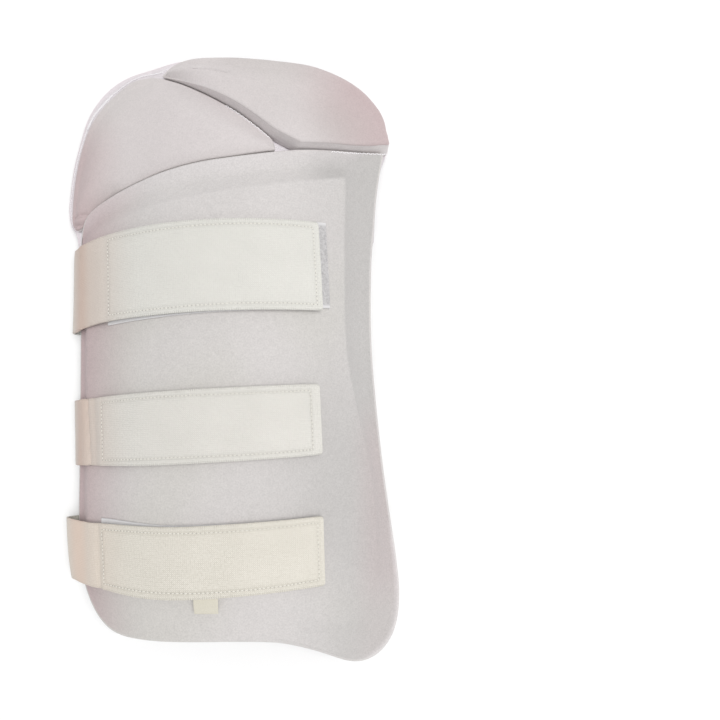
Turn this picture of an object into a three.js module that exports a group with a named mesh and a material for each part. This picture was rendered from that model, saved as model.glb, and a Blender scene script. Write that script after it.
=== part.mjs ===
// Cricket thigh guard lying on its back: a moulded thigh pad, two hip pads and three elastic straps.
// Millimetres, Z up. Y runs from the knee end to the hip, X across the thigh.
import * as THREE from 'three';

// Driving sizes
const guard = { length: 440, girth: 260, archRadius: 110, archHeight: 50, hipDrop: 12 };
const thigh = { thickness: 8, edgeRound: 3.2, blockRise: 7, bevelWidth: 8 };
const hip = { backing: 2.5, backingGap: 0.5, lowerPad: 12, upperPad: 16.5, wallRound: 1.6, edgeRound: 5, seamDip: 6 };
const elastic = { thickness: 1.8, topWidth: 63.5, middleWidth: 48.5, bottomWidth: 46.5 };
const velcro = { loop: 1.5, hook: 1.2, margin: 1.5, hookLength: 60 };
const tab = { length: 16, inset: 5, rise: 26 };
const label = { width: 13.5, length: 13, thickness: 0.8, droop: 3.5 };
const clearance = 0.3;

const halfGirth = guard.girth / 2;
const halfLength = guard.length / 2;
const degrees = Math.PI / 180;

const materials = {
  pad: { color: 0xdcd6d4, roughness: 0.85, metalness: 0 },
  hip: { color: 0xd8cfcd, roughness: 0.85, metalness: 0 },
  backing: { color: 0xe4dedd, roughness: 0.9, metalness: 0 },
  elastic: { color: 0xe6e1db, roughness: 0.9, metalness: 0 },
  pile: { color: 0xcac8c9, roughness: 0.95, metalness: 0 },
  label: { color: 0xf5eedb, roughness: 0.7, metalness: 0 },
};

// The arch along the length: lean of each flank in degrees, and drop as a share of the hip drop
const archRows = [
  { along: -1.0, left: 27.5, right: 21, drop: 0.08 },
  { along: -0.62, left: 30.5, right: 25.5, drop: 0 },
  { along: -0.2, left: 31.5, right: 30.5, drop: 0 },
  { along: 0.2, left: 31, right: 31, drop: 0 },
  { along: 0.5, left: 25, right: 27.5, drop: 0.08 },
  { along: 0.75, left: 22.5, right: 23, drop: 0.36 },
  { along: 1.0, left: 20, right: 20, drop: 1 },
];

// Outlines: across as a share of half the girth, along as a share of half the length,
// round from 0 (a corner) to 1 (a full curve)
function outlineRows(rows) {
  return rows.map(([across, along, round = 1]) => ({ across, along, round }));
}

// The edge where the thigh pad meets the hip pads, from right to left
const hingeRows = outlineRows([
  [0.738, 0.705],
  [0.6, 0.699],
  [0.43, 0.686],
  [0.269, 0.661],
  [0.092, 0.637],
  [-0.092, 0.62],
  [-0.31, 0.594],
  [-0.45, 0.575],
  [-0.58, 0.554],
  [-0.69, 0.53],
  [-0.77, 0.51],
  [-0.83, 0.487],
]);

// The slanting seam between the two hip pads, from the top down
const seamRows = outlineRows([
  [-0.24, 0.915],
  [-0.12, 0.875],
  [0.01, 0.832],
  [0.133, 0.79],
]);

const thighRows = [
  ...outlineRows([[0.958, 0.72, 0.3]]),
  ...hingeRows,
  ...outlineRows([
    [-0.88, 0.455],
    [-0.9, 0.39],
    [-0.918, 0.3],
    [-0.916, 0.1],
    [-0.898, -0.141],
    [-0.88, -0.378],
    [-0.87, -0.55],
    [-0.825, -0.71],
    [-0.748, -0.808],
    [-0.64, -0.865],
    [-0.52, -0.885],
    [-0.15, -0.879],
    [0.11, -0.88],
    [0.31, -0.887],
    [0.44, -0.901],
    [0.58, -0.929],
    [0.74, -0.98],
    [0.86, -0.989],
    [0.975, -0.952],
    [1.038, -0.888],
    [1.047, -0.79],
    [1.033, -0.66],
    [1.01, -0.54],
    [0.976, -0.379],
    [0.922, -0.141],
    [0.898, 0.065],
    [0.896, 0.25],
    [0.902, 0.391],
    [0.926, 0.555],
  ]),
];

const blockRows = outlineRows([
  [0.697, 0.602, 0.12],
  [0.42, 0.565],
  [0.17, 0.526],
  [-0.066, 0.495],
  [-0.25, 0.476],
  [-0.45, 0.455],
  [-0.64, 0.431],
  [-0.79, 0.4, 0.7],
  [-0.8, 0.3],
  [-0.78, 0],
  [-0.745, -0.38],
  [-0.72, -0.58],
  [-0.66, -0.69, 0.8],
  [-0.4, -0.715],
  [-0.03, -0.716],
  [0.2, -0.72],
  [0.33, -0.765],
  [0.47, -0.82],
  [0.62, -0.853],
  [0.76, -0.84],
  [0.845, -0.78],
  [0.875, -0.68],
  [0.885, -0.56],
  [0.867, -0.42],
  [0.8, -0.235],
  [0.726, -0.07],
  [0.692, 0.05],
  [0.69, 0.3],
]);

const lowerHipRows = [
  ...seamRows,
  ...outlineRows([[0.265, 0.715, 0.4], [0.29, 0.668, 0.2]]),
  ...hingeRows.slice(4),
  ...outlineRows([
    [-0.875, 0.457, 0.6],
    [-0.95, 0.447, 0.8],
    [-0.966, 0.52],
    [-0.95, 0.61],
    [-0.915, 0.71],
    [-0.865, 0.79],
    [-0.78, 0.857],
    [-0.66, 0.908],
    [-0.54, 0.945, 0.6],
    [-0.36, 0.936, 0.15],
  ]),
];

const upperHipRows = [
  ...outlineRows([
    [0.975, 0.731, 0.3],
    [0.963, 0.79],
    [0.925, 0.85],
    [0.85, 0.902],
    [0.75, 0.944],
    [0.63, 0.976],
    [0.44, 0.99],
    [0.22, 0.98],
    [0.0, 0.974],
    [-0.15, 0.974],
    [-0.26, 0.967],
    [-0.345, 0.942, 0.4],
  ]),
  ...seamRows,
  ...outlineRows([[0.29, 0.735], [0.425, 0.688, 0.15]]),
  ...hingeRows.slice(0, 2).reverse(),
];

const backingRows = outlineRows([
  [1.005, 0.74, 0.7],
  [0.985, 0.81],
  [0.93, 0.89],
  [0.83, 0.95],
  [0.7, 0.998],
  [0.5, 1.024],
  [0.25, 1.015],
  [0.03, 1.008],
  [-0.2, 1.01],
  [-0.39, 1.0],
  [-0.56, 0.996],
  [-0.7, 0.97],
  [-0.82, 0.925],
  [-0.93, 0.84],
  [-1.0, 0.73],
  [-1.048, 0.61],
  [-1.06, 0.5],
  [-0.995, 0.42],
  [-0.95, 0.37, 0.6],
  [-0.5, 0.395],
  [0, 0.41],
  [0.5, 0.41],
  [0.955, 0.405, 0.3],
  [0.965, 0.56],
]);

const thighSpine = [[0.1, -0.46], [0, -0.2], [0, 0.28]];
const lowerHipSpine = [[-0.83, 0.56], [-0.62, 0.72], [-0.34, 0.76], [0.1, 0.715]];
const upperHipSpine = [[-0.12, 0.935], [0.25, 0.88], [0.7, 0.84]];
const backingSpine = [[-0.62, 0.64], [0.6, 0.68]];

// Straps from the left fold to the free end: where the fold lies along the length, how far it
// stands off the pad at its lower and upper edge, and the centre line over the front
const straps = {
  top: {
    width: elastic.topWidth,
    fold: 0.222,
    slack: [3.5, 3],
    centre: [[-0.815, 0.2255], [-0.62, 0.238], [-0.28, 0.25], [-0.05, 0.2595], [0.22, 0.268], [0.515, 0.277]],
    patch: [0.17, 1.045],
  },
  middle: {
    width: elastic.middleWidth,
    fold: -0.2485,
    slack: [0, 0.3],
    centre: [[-0.78, -0.248], [-0.4, -0.239], [0.02, -0.224], [0.522, -0.207]],
    patch: [0.2, 0.98],
  },
  bottom: {
    width: elastic.bottomWidth,
    fold: -0.645,
    slack: [7.5, 5.5],
    centre: [[-0.74, -0.64], [-0.52, -0.6315], [-0.2, -0.634], [0.12, -0.62], [0.3, -0.614], [0.552, -0.6085]],
    patch: [0.08, 0.98],
  },
};

function smooth(share) {
  return share * share * (3 - 2 * share);
}

// Smooth value of one column of the arch rows: cubic between rows, each row's slope from its neighbours
function archValue(key, along) {
  const slopeAt = (index) => {
    const before = archRows[Math.max(index - 1, 0)];
    const after = archRows[Math.min(index + 1, archRows.length - 1)];
    return (after[key] - before[key]) / (after.along - before.along);
  };
  const next = Math.max(1, archRows.findIndex((row) => along <= row.along));
  const from = archRows[next - 1];
  const span = archRows[next].along - from.along;
  const mix = (along - from.along) / span;
  const rest = mix - 1;
  return (1 + 2 * mix) * rest * rest * from[key] + mix * rest * rest * span * slopeAt(next - 1)
    + mix * mix * (3 - 2 * mix) * archRows[next][key] + mix * mix * rest * span * slopeAt(next);
}

function archAt(y) {
  const along = THREE.MathUtils.clamp(y / halfLength, -1, 1);
  return {
    left: archValue('left', along) * degrees,
    right: archValue('right', along) * degrees,
    drop: archValue('drop', along) * guard.hipDrop,
  };
}

// A place on the arch: s runs across its inner face from the crown, height stands off that face
function place(s, y, height) {
  const arch = archAt(y);
  const side = Math.sign(s);
  const reach = Math.abs(s);
  const lean = Math.min(reach / guard.archRadius, side < 0 ? arch.left : arch.right);
  const straight = reach - guard.archRadius * lean;
  const x = guard.archRadius * Math.sin(lean) + straight * Math.cos(lean) + height * Math.sin(lean);
  const fall = guard.archRadius * (1 - Math.cos(lean)) + straight * Math.sin(lean);
  return new THREE.Vector3(side * x, y, guard.archHeight - arch.drop - fall + height * Math.cos(lean));
}

function plan([across, along]) {
  return new THREE.Vector2(across * halfGirth, along * halfLength);
}

// Corner table to a closed line of points on the unrolled arch
function roundedLine(rows) {
  const corners = rows.map((row) => plan([row.across, row.along]));
  const line = [];
  corners.forEach((corner, index) => {
    const before = corners.at(index - 1).clone().sub(corner).multiplyScalar(rows[index].round / 2);
    const after = corners[(index + 1) % corners.length].clone().sub(corner).multiplyScalar(rows[index].round / 2);
    const bend = new THREE.QuadraticBezierCurve(corner.clone().add(before), corner, corner.clone().add(after));
    line.push(...bend.getPoints(8));
  });
  return line.filter((point, index) => point.distanceTo(line.at(index - 1)) > 0.01);
}

// Moves a closed line inwards by a gap
function eased(line, gap) {
  const turn = Math.sign(THREE.ShapeUtils.area(line));
  return line.map((point, index) => {
    const run = line[(index + 1) % line.length].clone().sub(line.at(index - 1)).normalize();
    return point.clone().add(new THREE.Vector2(-run.y, run.x).multiplyScalar(gap * turn));
  });
}

function evenPoints(line, count) {
  const lengths = line.map((point, index) => point.distanceTo(line[(index + 1) % line.length]));
  const total = lengths.reduce((sum, length) => sum + length, 0);
  const points = [];
  let index = 0;
  let start = 0;
  for (let step = 0; step < count; step += 1) {
    const goal = (step * total) / count;
    while (start + lengths[index] < goal) {
      start += lengths[index];
      index += 1;
    }
    const next = line[(index + 1) % line.length];
    points.push(line[index].clone().lerp(next, (goal - start) / lengths[index]));
  }
  return points;
}

// Farthest crossing of a closed line with the ray from a heart point through a rim point
function crossing(line, heart, rim) {
  const ray = rim.clone().sub(heart).normalize();
  let best = null;
  line.forEach((a, index) => {
    const b = line[(index + 1) % line.length];
    const edge = b.clone().sub(a);
    const bottom = ray.cross(edge);
    const offset = a.clone().sub(heart);
    const distance = offset.cross(edge) / bottom;
    const share = offset.cross(ray) / bottom;
    if (share >= 0 && share <= 1 && distance > 0 && (best === null || distance > best)) {
      best = distance;
    }
  });
  return heart.clone().addScaledVector(ray, best);
}

function spineStations(rows, step) {
  const corners = rows.map(plan);
  const stations = [corners[0]];
  corners.slice(1).forEach((corner, index) => {
    const from = corners[index];
    const pieces = Math.max(1, Math.round(from.distanceTo(corner) / step));
    for (let piece = 1; piece <= pieces; piece += 1) {
      stations.push(from.clone().lerp(corner, piece / pieces));
    }
  });
  return stations;
}

function nearest(stations, point) {
  const distances = stations.map((station) => station.distanceTo(point));
  return distances.indexOf(Math.min(...distances));
}

// Turns all faces outwards, from the sign of the volume they enclose
function meshFrom(triangles) {
  const volume = triangles.reduce((sum, [a, b, c]) => sum + a.dot(b.clone().cross(c)), 0);
  if (volume < 0) {
    triangles.forEach((corners) => corners.reverse());
  }
  const geometry = new THREE.BufferGeometry();
  const flat = triangles.flatMap((corners) => corners.flatMap((corner) => corner.toArray()));
  geometry.setAttribute('position', new THREE.Float32BufferAttribute(flat, 3));
  geometry.computeVertexNormals();
  return geometry;
}

// A closed pad on the arch. Rings run from the underside to the top: each lies between two named
// lines (rim, crest, spine) at a share, moved inwards by an inset, at its own height.
function padGeometry({ rim, crest, corners = [], spine, step, count, rings, under, over }) {
  const points = evenPoints(rim, count);
  const stations = spineStations(spine, step);
  const homes = points.map((point) => nearest(stations, point));
  const lines = {
    rim: points,
    spine: homes.map((home) => stations[home]),
  };
  if (crest) {
    lines.crest = points.map((point, index) => crossing(crest, lines.spine[index], point));
    corners.forEach((corner) => {
      lines.crest[nearest(lines.crest, corner)] = corner;
    });
  }
  const loops = rings.map(({ from = 'rim', to = 'spine', share = 0, inset = 0, height }) => (
    points.map((point, index) => {
      const start = lines[from][index];
      const goal = lines[to][index];
      const inward = lines.spine[index].clone().sub(start).normalize();
      const flat = start.clone().lerp(goal, share).addScaledVector(inward, inset);
      return place(flat.x, flat.y, height);
    })
  ));
  const triangles = [];
  const add = (...corners) => triangles.push(corners);
  for (let ring = 0; ring + 1 < loops.length; ring += 1) {
    points.forEach((point, index) => {
      const next = (index + 1) % count;
      const [low, high] = [loops[ring], loops[ring + 1]];
      add(low[index], low[next], high[next]);
      add(low[index], high[next], high[index]);
    });
  }
  const close = (loop, height, flip) => {
    const heart = stations.map((station) => place(station.x, station.y, height));
    points.forEach((point, index) => {
      const next = (index + 1) % count;
      const fan = [[loop[index], loop[next], heart[homes[next]]]];
      const turn = Math.sign(homes[next] - homes[index]);
      for (let home = homes[index]; home !== homes[next]; home += turn) {
        fan.push([loop[index], heart[home + turn], heart[home]]);
      }
      fan.forEach(([a, b, c]) => (flip ? add(a, c, b) : add(a, b, c)));
    });
  };
  close(loops[0], under, true);
  close(loops.at(-1), over, false);
  return meshFrom(triangles);
}

// A closed band: every station has lanes across its width, each with an inner and an outer point
function bandGeometry(stations) {
  const triangles = [];
  const quad = (a, b, c, d) => triangles.push([a, b, c], [a, c, d]);
  const lanes = stations[0].length;
  stations.slice(1).forEach((station, index) => {
    const last = stations[index];
    for (let lane = 0; lane + 1 < lanes; lane += 1) {
      quad(last[lane][0], last[lane + 1][0], station[lane + 1][0], station[lane][0]);
      quad(last[lane][1], station[lane][1], station[lane + 1][1], last[lane + 1][1]);
    }
    quad(last[0][0], station[0][0], station[0][1], last[0][1]);
    quad(last[lanes - 1][0], last[lanes - 1][1], station[lanes - 1][1], station[lanes - 1][0]);
  });
  const cap = (station, flip) => {
    for (let lane = 0; lane + 1 < lanes; lane += 1) {
      const corners = [station[lane][0], station[lane][1], station[lane + 1][1], station[lane + 1][0]];
      quad(...(flip ? corners.reverse() : corners));
    }
  };
  cap(stations[0], false);
  cap(stations.at(-1), true);
  return meshFrom(triangles);
}

function piece(name, look, geometry) {
  const mesh = new THREE.Mesh(geometry, new THREE.MeshStandardMaterial(materials[look]));
  mesh.name = name;
  return mesh;
}

const blockTop = thigh.thickness + thigh.blockRise;
const thighLine = roundedLine(thighRows);
const blockLine = roundedLine(blockRows);

// The widest place of the pad's rounded edge
const edgeCorner = { inset: thigh.edgeRound * 0.25, height: thigh.thickness - thigh.edgeRound * 0.35 };

function thighPad() {
  const { thickness, edgeRound, bevelWidth } = thigh;
  return piece('thigh_pad', 'pad', padGeometry({
    rim: thighLine,
    crest: blockLine,
    corners: blockRows.filter((row) => row.round < 0.2).map((row) => plan([row.across, row.along])),
    spine: thighSpine,
    step: 20,
    count: 80,
    under: 0,
    over: blockTop,
    rings: [
      { share: 0.89, height: 0 },
      { share: 0.77, height: 0 },
      { share: 0.65, height: 0 },
      { share: 0.52, height: 0 },
      { share: 0.35, height: 0 },
      { share: 0.17, height: 0 },
      { inset: edgeRound, height: 0 },
      { inset: edgeRound * 0.25, height: edgeRound * 0.3 },
      { height: thickness * 0.45 },
      edgeCorner,
      { inset: edgeRound, height: thickness },
      { from: 'crest', inset: -bevelWidth, height: thickness },
      { from: 'crest', height: blockTop },
      { from: 'crest', share: 0.22, height: blockTop },
      { from: 'crest', share: 0.4, height: blockTop },
      { from: 'crest', share: 0.55, height: blockTop },
      { from: 'crest', share: 0.7, height: blockTop },
      { from: 'crest', share: 0.85, height: blockTop },
    ],
  }));
}

function hipPad(name, rows, spine, height) {
  const { edgeRound, wallRound, seamDip } = hip;
  return piece(name, 'hip', padGeometry({
    rim: eased(roundedLine(rows), clearance),
    spine,
    step: 12,
    count: 72,
    under: 0,
    over: height,
    rings: [
      { share: 0.5, height: 0 },
      { inset: wallRound, height: 0 },
      { height: wallRound },
      { inset: wallRound * 0.2, height: height - seamDip },
      { inset: edgeRound * 0.3, height: height - seamDip * 0.4 },
      { inset: edgeRound, height: height - seamDip * 0.1 },
      { share: 0.35, inset: edgeRound * 0.5, height },
      { share: 0.7, height },
    ],
  }));
}

function hipBacking() {
  const top = -hip.backingGap;
  const bottom = top - hip.backing;
  return piece('hip_backing', 'backing', padGeometry({
    rim: roundedLine(backingRows),
    spine: backingSpine,
    step: 12,
    count: 80,
    under: bottom,
    over: top,
    rings: [
      { share: 0.75, height: bottom },
      { share: 0.5, height: bottom },
      { share: 0.25, height: bottom },
      { height: bottom },
      { height: top },
      { share: 0.25, height: top },
      { share: 0.5, height: top },
      { share: 0.75, height: top },
    ],
  }));
}

// Heights of the fastening stack on the raised block
const loopBase = blockTop + clearance;
const hookBase = loopBase + velcro.loop + clearance;
const strapBase = hookBase + velcro.hook + clearance;

// Where a closed line crosses a given y, on the left (side -1) or the right (side 1)
function edgeAt(line, y, side) {
  const hits = line.flatMap((a, index) => {
    const b = line[(index + 1) % line.length];
    const share = (y - a.y) / (b.y - a.y);
    return share >= 0 && share <= 1 ? [THREE.MathUtils.lerp(a.x, b.x, share) * side] : [];
  });
  return Math.max(...hits) * side;
}

function centreLine(rows) {
  return new THREE.CatmullRomCurve3(rows.map((row) => new THREE.Vector3(plan(row).x, plan(row).y, 0)));
}

// A layer along a strap's centre line between two shares of it, at a height or a rule for it.
// A share past 1 goes straight on from the strap's free end.
function layer(curve, { width, from = 0, to = 1, count, thickness, height }) {
  const length = curve.getLength();
  const stations = [];
  for (let step = 0; step <= count; step += 1) {
    const share = from + ((to - from) * step) / count;
    const inside = Math.min(1, share);
    const run = curve.getTangentAt(inside);
    const centre = curve.getPointAt(inside).addScaledVector(run, (share - inside) * length);
    const turned = smooth(Math.min(1, (share * length) / width));
    stations.push([-0.5, 0, 0.5].map((lane) => {
      const s = centre.x - run.y * turned * width * lane;
      const y = centre.y + run.x * width * lane;
      const low = typeof height === 'function' ? height(share) : height;
      return [place(s, y, low), place(s, y, low + thickness)];
    }));
  }
  return stations;
}

// Gives a line of points in one lane its thickness, on the side that faces away from the pad,
// and keeps both sides from dipping under the floor
function thickened(points, floor) {
  return points.map((point, index) => {
    const run = points[Math.min(index + 1, points.length - 1)].clone().sub(points[Math.max(index - 1, 0)]);
    const out = new THREE.Vector3(-run.z, 0, run.x).normalize().multiplyScalar(elastic.thickness);
    const inner = point.clone().setZ(Math.max(point.z, floor + elastic.thickness));
    const outer = inner.clone().add(out);
    return [inner, outer.setZ(Math.max(outer.z, floor))];
  });
}

// The hidden part of one lane: sewn tab inside the right flank, run on the floor, left fold
function hiddenLane(y, frontStart, slack, floor) {
  const ground = floor + elastic.thickness;
  const right = edgeAt(thighLine, y, 1) - tab.inset;
  const left = edgeAt(thighLine, y, -1);
  const sewn = [0, 0.5, 1].map((share) => place(right - share * tab.length, y, -clearance));
  const lift = sewn[2].clone().sub(sewn[1]).normalize();
  const landing = new THREE.Vector3(sewn[2].x - tab.rise, y, ground);
  const drop = new THREE.CubicBezierCurve3(
    sewn[2],
    sewn[2].clone().addScaledVector(lift, tab.rise * 0.2),
    landing.clone().setX(landing.x + tab.rise * 0.6),
    landing,
  );
  const edge = place(left + edgeCorner.inset, y, edgeCorner.height);
  const off = clearance * 1.5;
  const over = place(left + thigh.edgeRound, y, thigh.thickness + off + slack * 0.6);
  const turn = new THREE.CatmullRomCurve3([
    new THREE.Vector3(edge.x + 16, y, ground),
    new THREE.Vector3(edge.x + 7, y, ground),
    new THREE.Vector3(edge.x - off - slack * 0.7, y, THREE.MathUtils.lerp(ground, edge.z, 0.4)),
    new THREE.Vector3(edge.x - off - slack, y, THREE.MathUtils.lerp(ground, edge.z, 0.9)),
    over,
    frontStart,
  ], false, 'centripetal');
  const run = [0.25, 0.5, 0.75].map((share) => (
    new THREE.Vector3(THREE.MathUtils.lerp(landing.x, edge.x + 16, share), y, ground)
  ));
  return thickened([...sewn, ...drop.getPoints(8).slice(1), ...run, ...turn.getPoints(22).slice(0, -1)], floor);
}

function strap(name, { width, fold, slack, centre, patch }, floor) {
  const curve = centreLine(centre);
  const settled = patch[0];
  const front = layer(curve, {
    width,
    count: 22,
    thickness: elastic.thickness,
    height: (share) => THREE.MathUtils.lerp(
      blockTop + clearance * 2,
      strapBase,
      smooth(Math.min(1, share / settled)),
    ),
  });
  const lanes = [-0.5, 0, 0.5].map((lane) => hiddenLane(
    fold * halfLength + width * lane,
    front[0][Math.round(lane * 2) + 1][0],
    THREE.MathUtils.lerp(slack[0], slack[1], lane + 0.5),
    floor,
  ));
  const hidden = lanes[0].map((point, index) => lanes.map((points) => points[index]));
  return piece(`strap_${name}`, 'elastic', bandGeometry([...hidden, ...front]));
}

function loopPatch(name, { width, centre, patch }) {
  const curve = centreLine(centre);
  return piece(`loop_patch_${name}`, 'pile', bandGeometry(layer(curve, {
    width: width - velcro.margin,
    from: patch[0],
    to: patch[1],
    count: 12,
    thickness: velcro.loop,
    height: loopBase,
  })));
}

function hookPatch(name, { width, centre }) {
  const curve = centreLine(centre);
  const length = curve.getLength();
  return piece(`hook_patch_${name}`, 'pile', bandGeometry(layer(curve, {
    width: width - velcro.margin * 2,
    from: 1 - (velcro.hookLength + velcro.margin) / length,
    to: 1 - velcro.margin / length,
    count: 6,
    thickness: velcro.hook,
    height: hookBase,
  })));
}

function sizeLabel() {
  const top = straps.bottom.centre[3][1] * halfLength - elastic.bottomWidth / 2 + velcro.margin;
  const middle = -0.006 * halfGirth;
  const stations = [0, 0.4, 0.7, 1].map((share) => {
    const y = top - share * label.length;
    const height = strapBase - clearance - label.thickness - label.droop * share * share;
    return [-0.5, 0, 0.5].map((lane) => {
      const s = middle + lane * label.width;
      return [place(s, y, height), place(s, y, height + label.thickness)];
    });
  });
  return piece('size_label', 'label', bandGeometry(stations));
}

const guardModel = new THREE.Group();
const pads = [
  thighPad(),
  hipBacking(),
  hipPad('hip_panel_lower', lowerHipRows, lowerHipSpine, hip.lowerPad),
  hipPad('hip_panel_upper', upperHipRows, upperHipSpine, hip.upperPad),
];
guardModel.add(...pads);
const lowest = new THREE.Box3().setFromObject(guardModel, true).min.z;
const floor = lowest - clearance - elastic.thickness;
for (const [name, sizes] of Object.entries(straps)) {
  guardModel.add(loopPatch(name, sizes), hookPatch(name, sizes), strap(name, sizes, floor));
}
guardModel.add(sizeLabel());
const reach = new THREE.Box3().setFromObject(guardModel, true);
guardModel.position.set(-(reach.min.x + reach.max.x) / 2, -(reach.min.y + reach.max.y) / 2, -reach.min.z);

export default guardModel;
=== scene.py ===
import math
import random

import bmesh
import bpy
import numpy as np
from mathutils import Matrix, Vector, noise


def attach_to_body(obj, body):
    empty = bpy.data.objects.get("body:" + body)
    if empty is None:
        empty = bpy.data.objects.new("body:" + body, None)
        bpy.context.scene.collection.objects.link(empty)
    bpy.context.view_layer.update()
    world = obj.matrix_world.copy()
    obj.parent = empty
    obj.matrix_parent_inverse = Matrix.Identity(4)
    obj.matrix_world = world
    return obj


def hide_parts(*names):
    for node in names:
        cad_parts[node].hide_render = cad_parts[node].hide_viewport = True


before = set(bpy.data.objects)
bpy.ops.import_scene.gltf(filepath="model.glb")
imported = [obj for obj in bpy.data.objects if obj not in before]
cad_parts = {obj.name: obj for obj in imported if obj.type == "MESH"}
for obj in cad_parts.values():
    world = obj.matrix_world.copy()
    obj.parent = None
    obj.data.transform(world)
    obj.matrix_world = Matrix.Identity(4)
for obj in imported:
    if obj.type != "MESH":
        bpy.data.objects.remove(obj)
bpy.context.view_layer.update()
mm = 0.001

# Sizes of the whole guard in millimetres; shift moves its pattern to where it lies in the frame
guard = {
    "length": 440,
    "girth": 260,
    "archRadius": 110,
    "archHeight": 50,
    "hipDrop": 12,
    "shift": (-0.887, -4.077, 3.423),
}
halfGirth = guard["girth"] / 2
halfLength = guard["length"] / 2

# Along as a share of half the length, lean of the left and right flank in degrees, share of the hip drop
archRows = [
    (-1.0, 27.5, 21, 0.08),
    (-0.62, 30.5, 25.5, 0),
    (-0.2, 31.5, 30.5, 0),
    (0.2, 31, 31, 0),
    (0.5, 25, 27.5, 0.08),
    (0.75, 22.5, 23, 0.36),
    (1.0, 20, 20, 1),
]

# Outlines: across as a share of half the girth, along as a share of half the length,
# round from 0 (a corner) to 1 (a full curve, also where it isn't given)
hingeRows = [
    (0.738, 0.705), (0.6, 0.699), (0.43, 0.686), (0.269, 0.661), (0.092, 0.637), (-0.092, 0.62),
    (-0.31, 0.594), (-0.45, 0.575), (-0.58, 0.554), (-0.69, 0.53), (-0.77, 0.51), (-0.83, 0.487),
]
seamRows = [(-0.235, 0.911), (-0.11, 0.871), (0.01, 0.829), (0.107, 0.792), (0.2, 0.751), (0.27, 0.718)]


# Shape helpers


def smooth(share):
    share = np.clip(share, 0, 1)
    return share * share * (3 - 2 * share)


def beyond(values, start, reach):  # 0 up to the start and 1 from a reach past it
    return smooth((values - start) / reach)


def hermite(mix, start, leave, end, arrive):  # cubic from start to end, with the slopes at both
    rest = mix - 1
    ends = (1 + 2 * mix) * rest**2 * start + mix**2 * (3 - 2 * mix) * end
    return ends + mix * rest**2 * leave + mix**2 * rest * arrive


def archColumn(column, along):  # cubic between rows, each row's slope from its neighbours
    rows = np.array(archRows)
    places, values = rows[:, 0], rows[:, column]
    last = len(rows) - 1
    before = np.maximum(np.arange(last + 1) - 1, 0)
    after = np.minimum(np.arange(last + 1) + 1, last)
    slopes = (values[after] - values[before]) / (places[after] - places[before])
    index = np.clip(np.searchsorted(places, along), 1, last)
    span = places[index] - places[index - 1]
    mix = (along - places[index - 1]) / span
    return hermite(mix, values[index - 1], span * slopes[index - 1], values[index], span * slopes[index])


def onArch(across, along, height):  # millimetres on the unrolled pattern to metres in the frame
    across, along, height = np.broadcast_arrays(across, along, height)
    share = np.clip(along / halfLength, -1, 1)
    leans = np.radians(np.where(across < 0, archColumn(1, share), archColumn(2, share)))
    reach = np.abs(across)
    radius = guard["archRadius"]
    lean = np.minimum(reach / radius, leans)
    straight = reach - radius * lean
    side = radius * np.sin(lean) + straight * np.cos(lean) + height * np.sin(lean)
    fall = radius * (1 - np.cos(lean)) + straight * np.sin(lean)
    crown = guard["archHeight"] - archColumn(3, share) * guard["hipDrop"]
    spots = np.stack([np.sign(across) * side, along, crown - fall + height * np.cos(lean)], axis=-1)
    return (spots + guard["shift"]) * mm


def plan(rows):
    return np.array([(row[0] * halfGirth, row[1] * halfLength) for row in rows])


def roundedLine(rows):
    corners = plan(rows)
    steps = np.linspace(0, 1, 15)[:, None]
    line = []
    for index, corner in enumerate(corners):
        ease = (rows[index][2] if len(rows[index]) > 2 else 1) / 2
        start = corner + (corners[index - 1] - corner) * ease
        end = corner + (corners[(index + 1) % len(corners)] - corner) * ease
        line.extend((1 - steps) ** 2 * start + 2 * steps * (1 - steps) * corner + steps**2 * end)
    line = np.array(line)
    gaps = np.linalg.norm(line - np.roll(line, 1, axis=0), axis=1)
    return line[gaps > 0.01]


def alongLine(line, count, closed=True):  # the same line as evenly spaced points
    ring = np.vstack([line, line[:1]]) if closed else line
    steps = np.linalg.norm(np.diff(ring, axis=0), axis=1)
    travel = np.concatenate([[0], np.cumsum(steps)])
    goals = np.linspace(0, travel[-1], count, endpoint=not closed)
    return np.stack([np.interp(goals, travel, ring[:, axis]) for axis in range(ring.shape[1])], axis=1)


def nearestOn(points, line, closed=True):  # distance to a line and the spot on it, for each point
    starts = line if closed else line[:-1]
    runs = (np.roll(line, -1, axis=0) if closed else line[1:]) - starts
    lengths = (runs**2).sum(axis=1)
    gaps, spots = [], []
    for some in np.array_split(points, max(1, len(points) // 3000)):
        offset = some[:, None] - starts[None]
        share = np.clip((offset * runs).sum(axis=2) / lengths, 0, 1)
        foot = starts + share[..., None] * runs
        far = np.linalg.norm(some[:, None] - foot, axis=2)
        best = far.argmin(axis=1)
        rows = np.arange(len(some))
        gaps.append(far[rows, best])
        spots.append(foot[rows, best])
    return np.concatenate(gaps), np.concatenate(spots)


def evened(values, reach):  # a closed row of numbers, each averaged with its neighbours
    return sum(np.roll(values, shift) for shift in range(-reach, reach + 1)) / (2 * reach + 1)


def crossings(line, hearts, rims):  # farthest crossing of a closed line with each ray from heart to rim
    edges = np.roll(line, -1, axis=0) - line
    found = []
    for heart, rim in zip(hearts, rims):
        ray = (rim - heart) / np.linalg.norm(rim - heart)
        bottom = ray[0] * edges[:, 1] - ray[1] * edges[:, 0]
        offset = line - heart
        distance = (offset[:, 0] * edges[:, 1] - offset[:, 1] * edges[:, 0]) / bottom
        share = (offset[:, 0] * ray[1] - offset[:, 1] * ray[0]) / bottom
        hits = distance[(share >= 0) & (share <= 1) & (distance > 0)]
        found.append(heart + ray * hits.max())
    return np.array(found)


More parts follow.
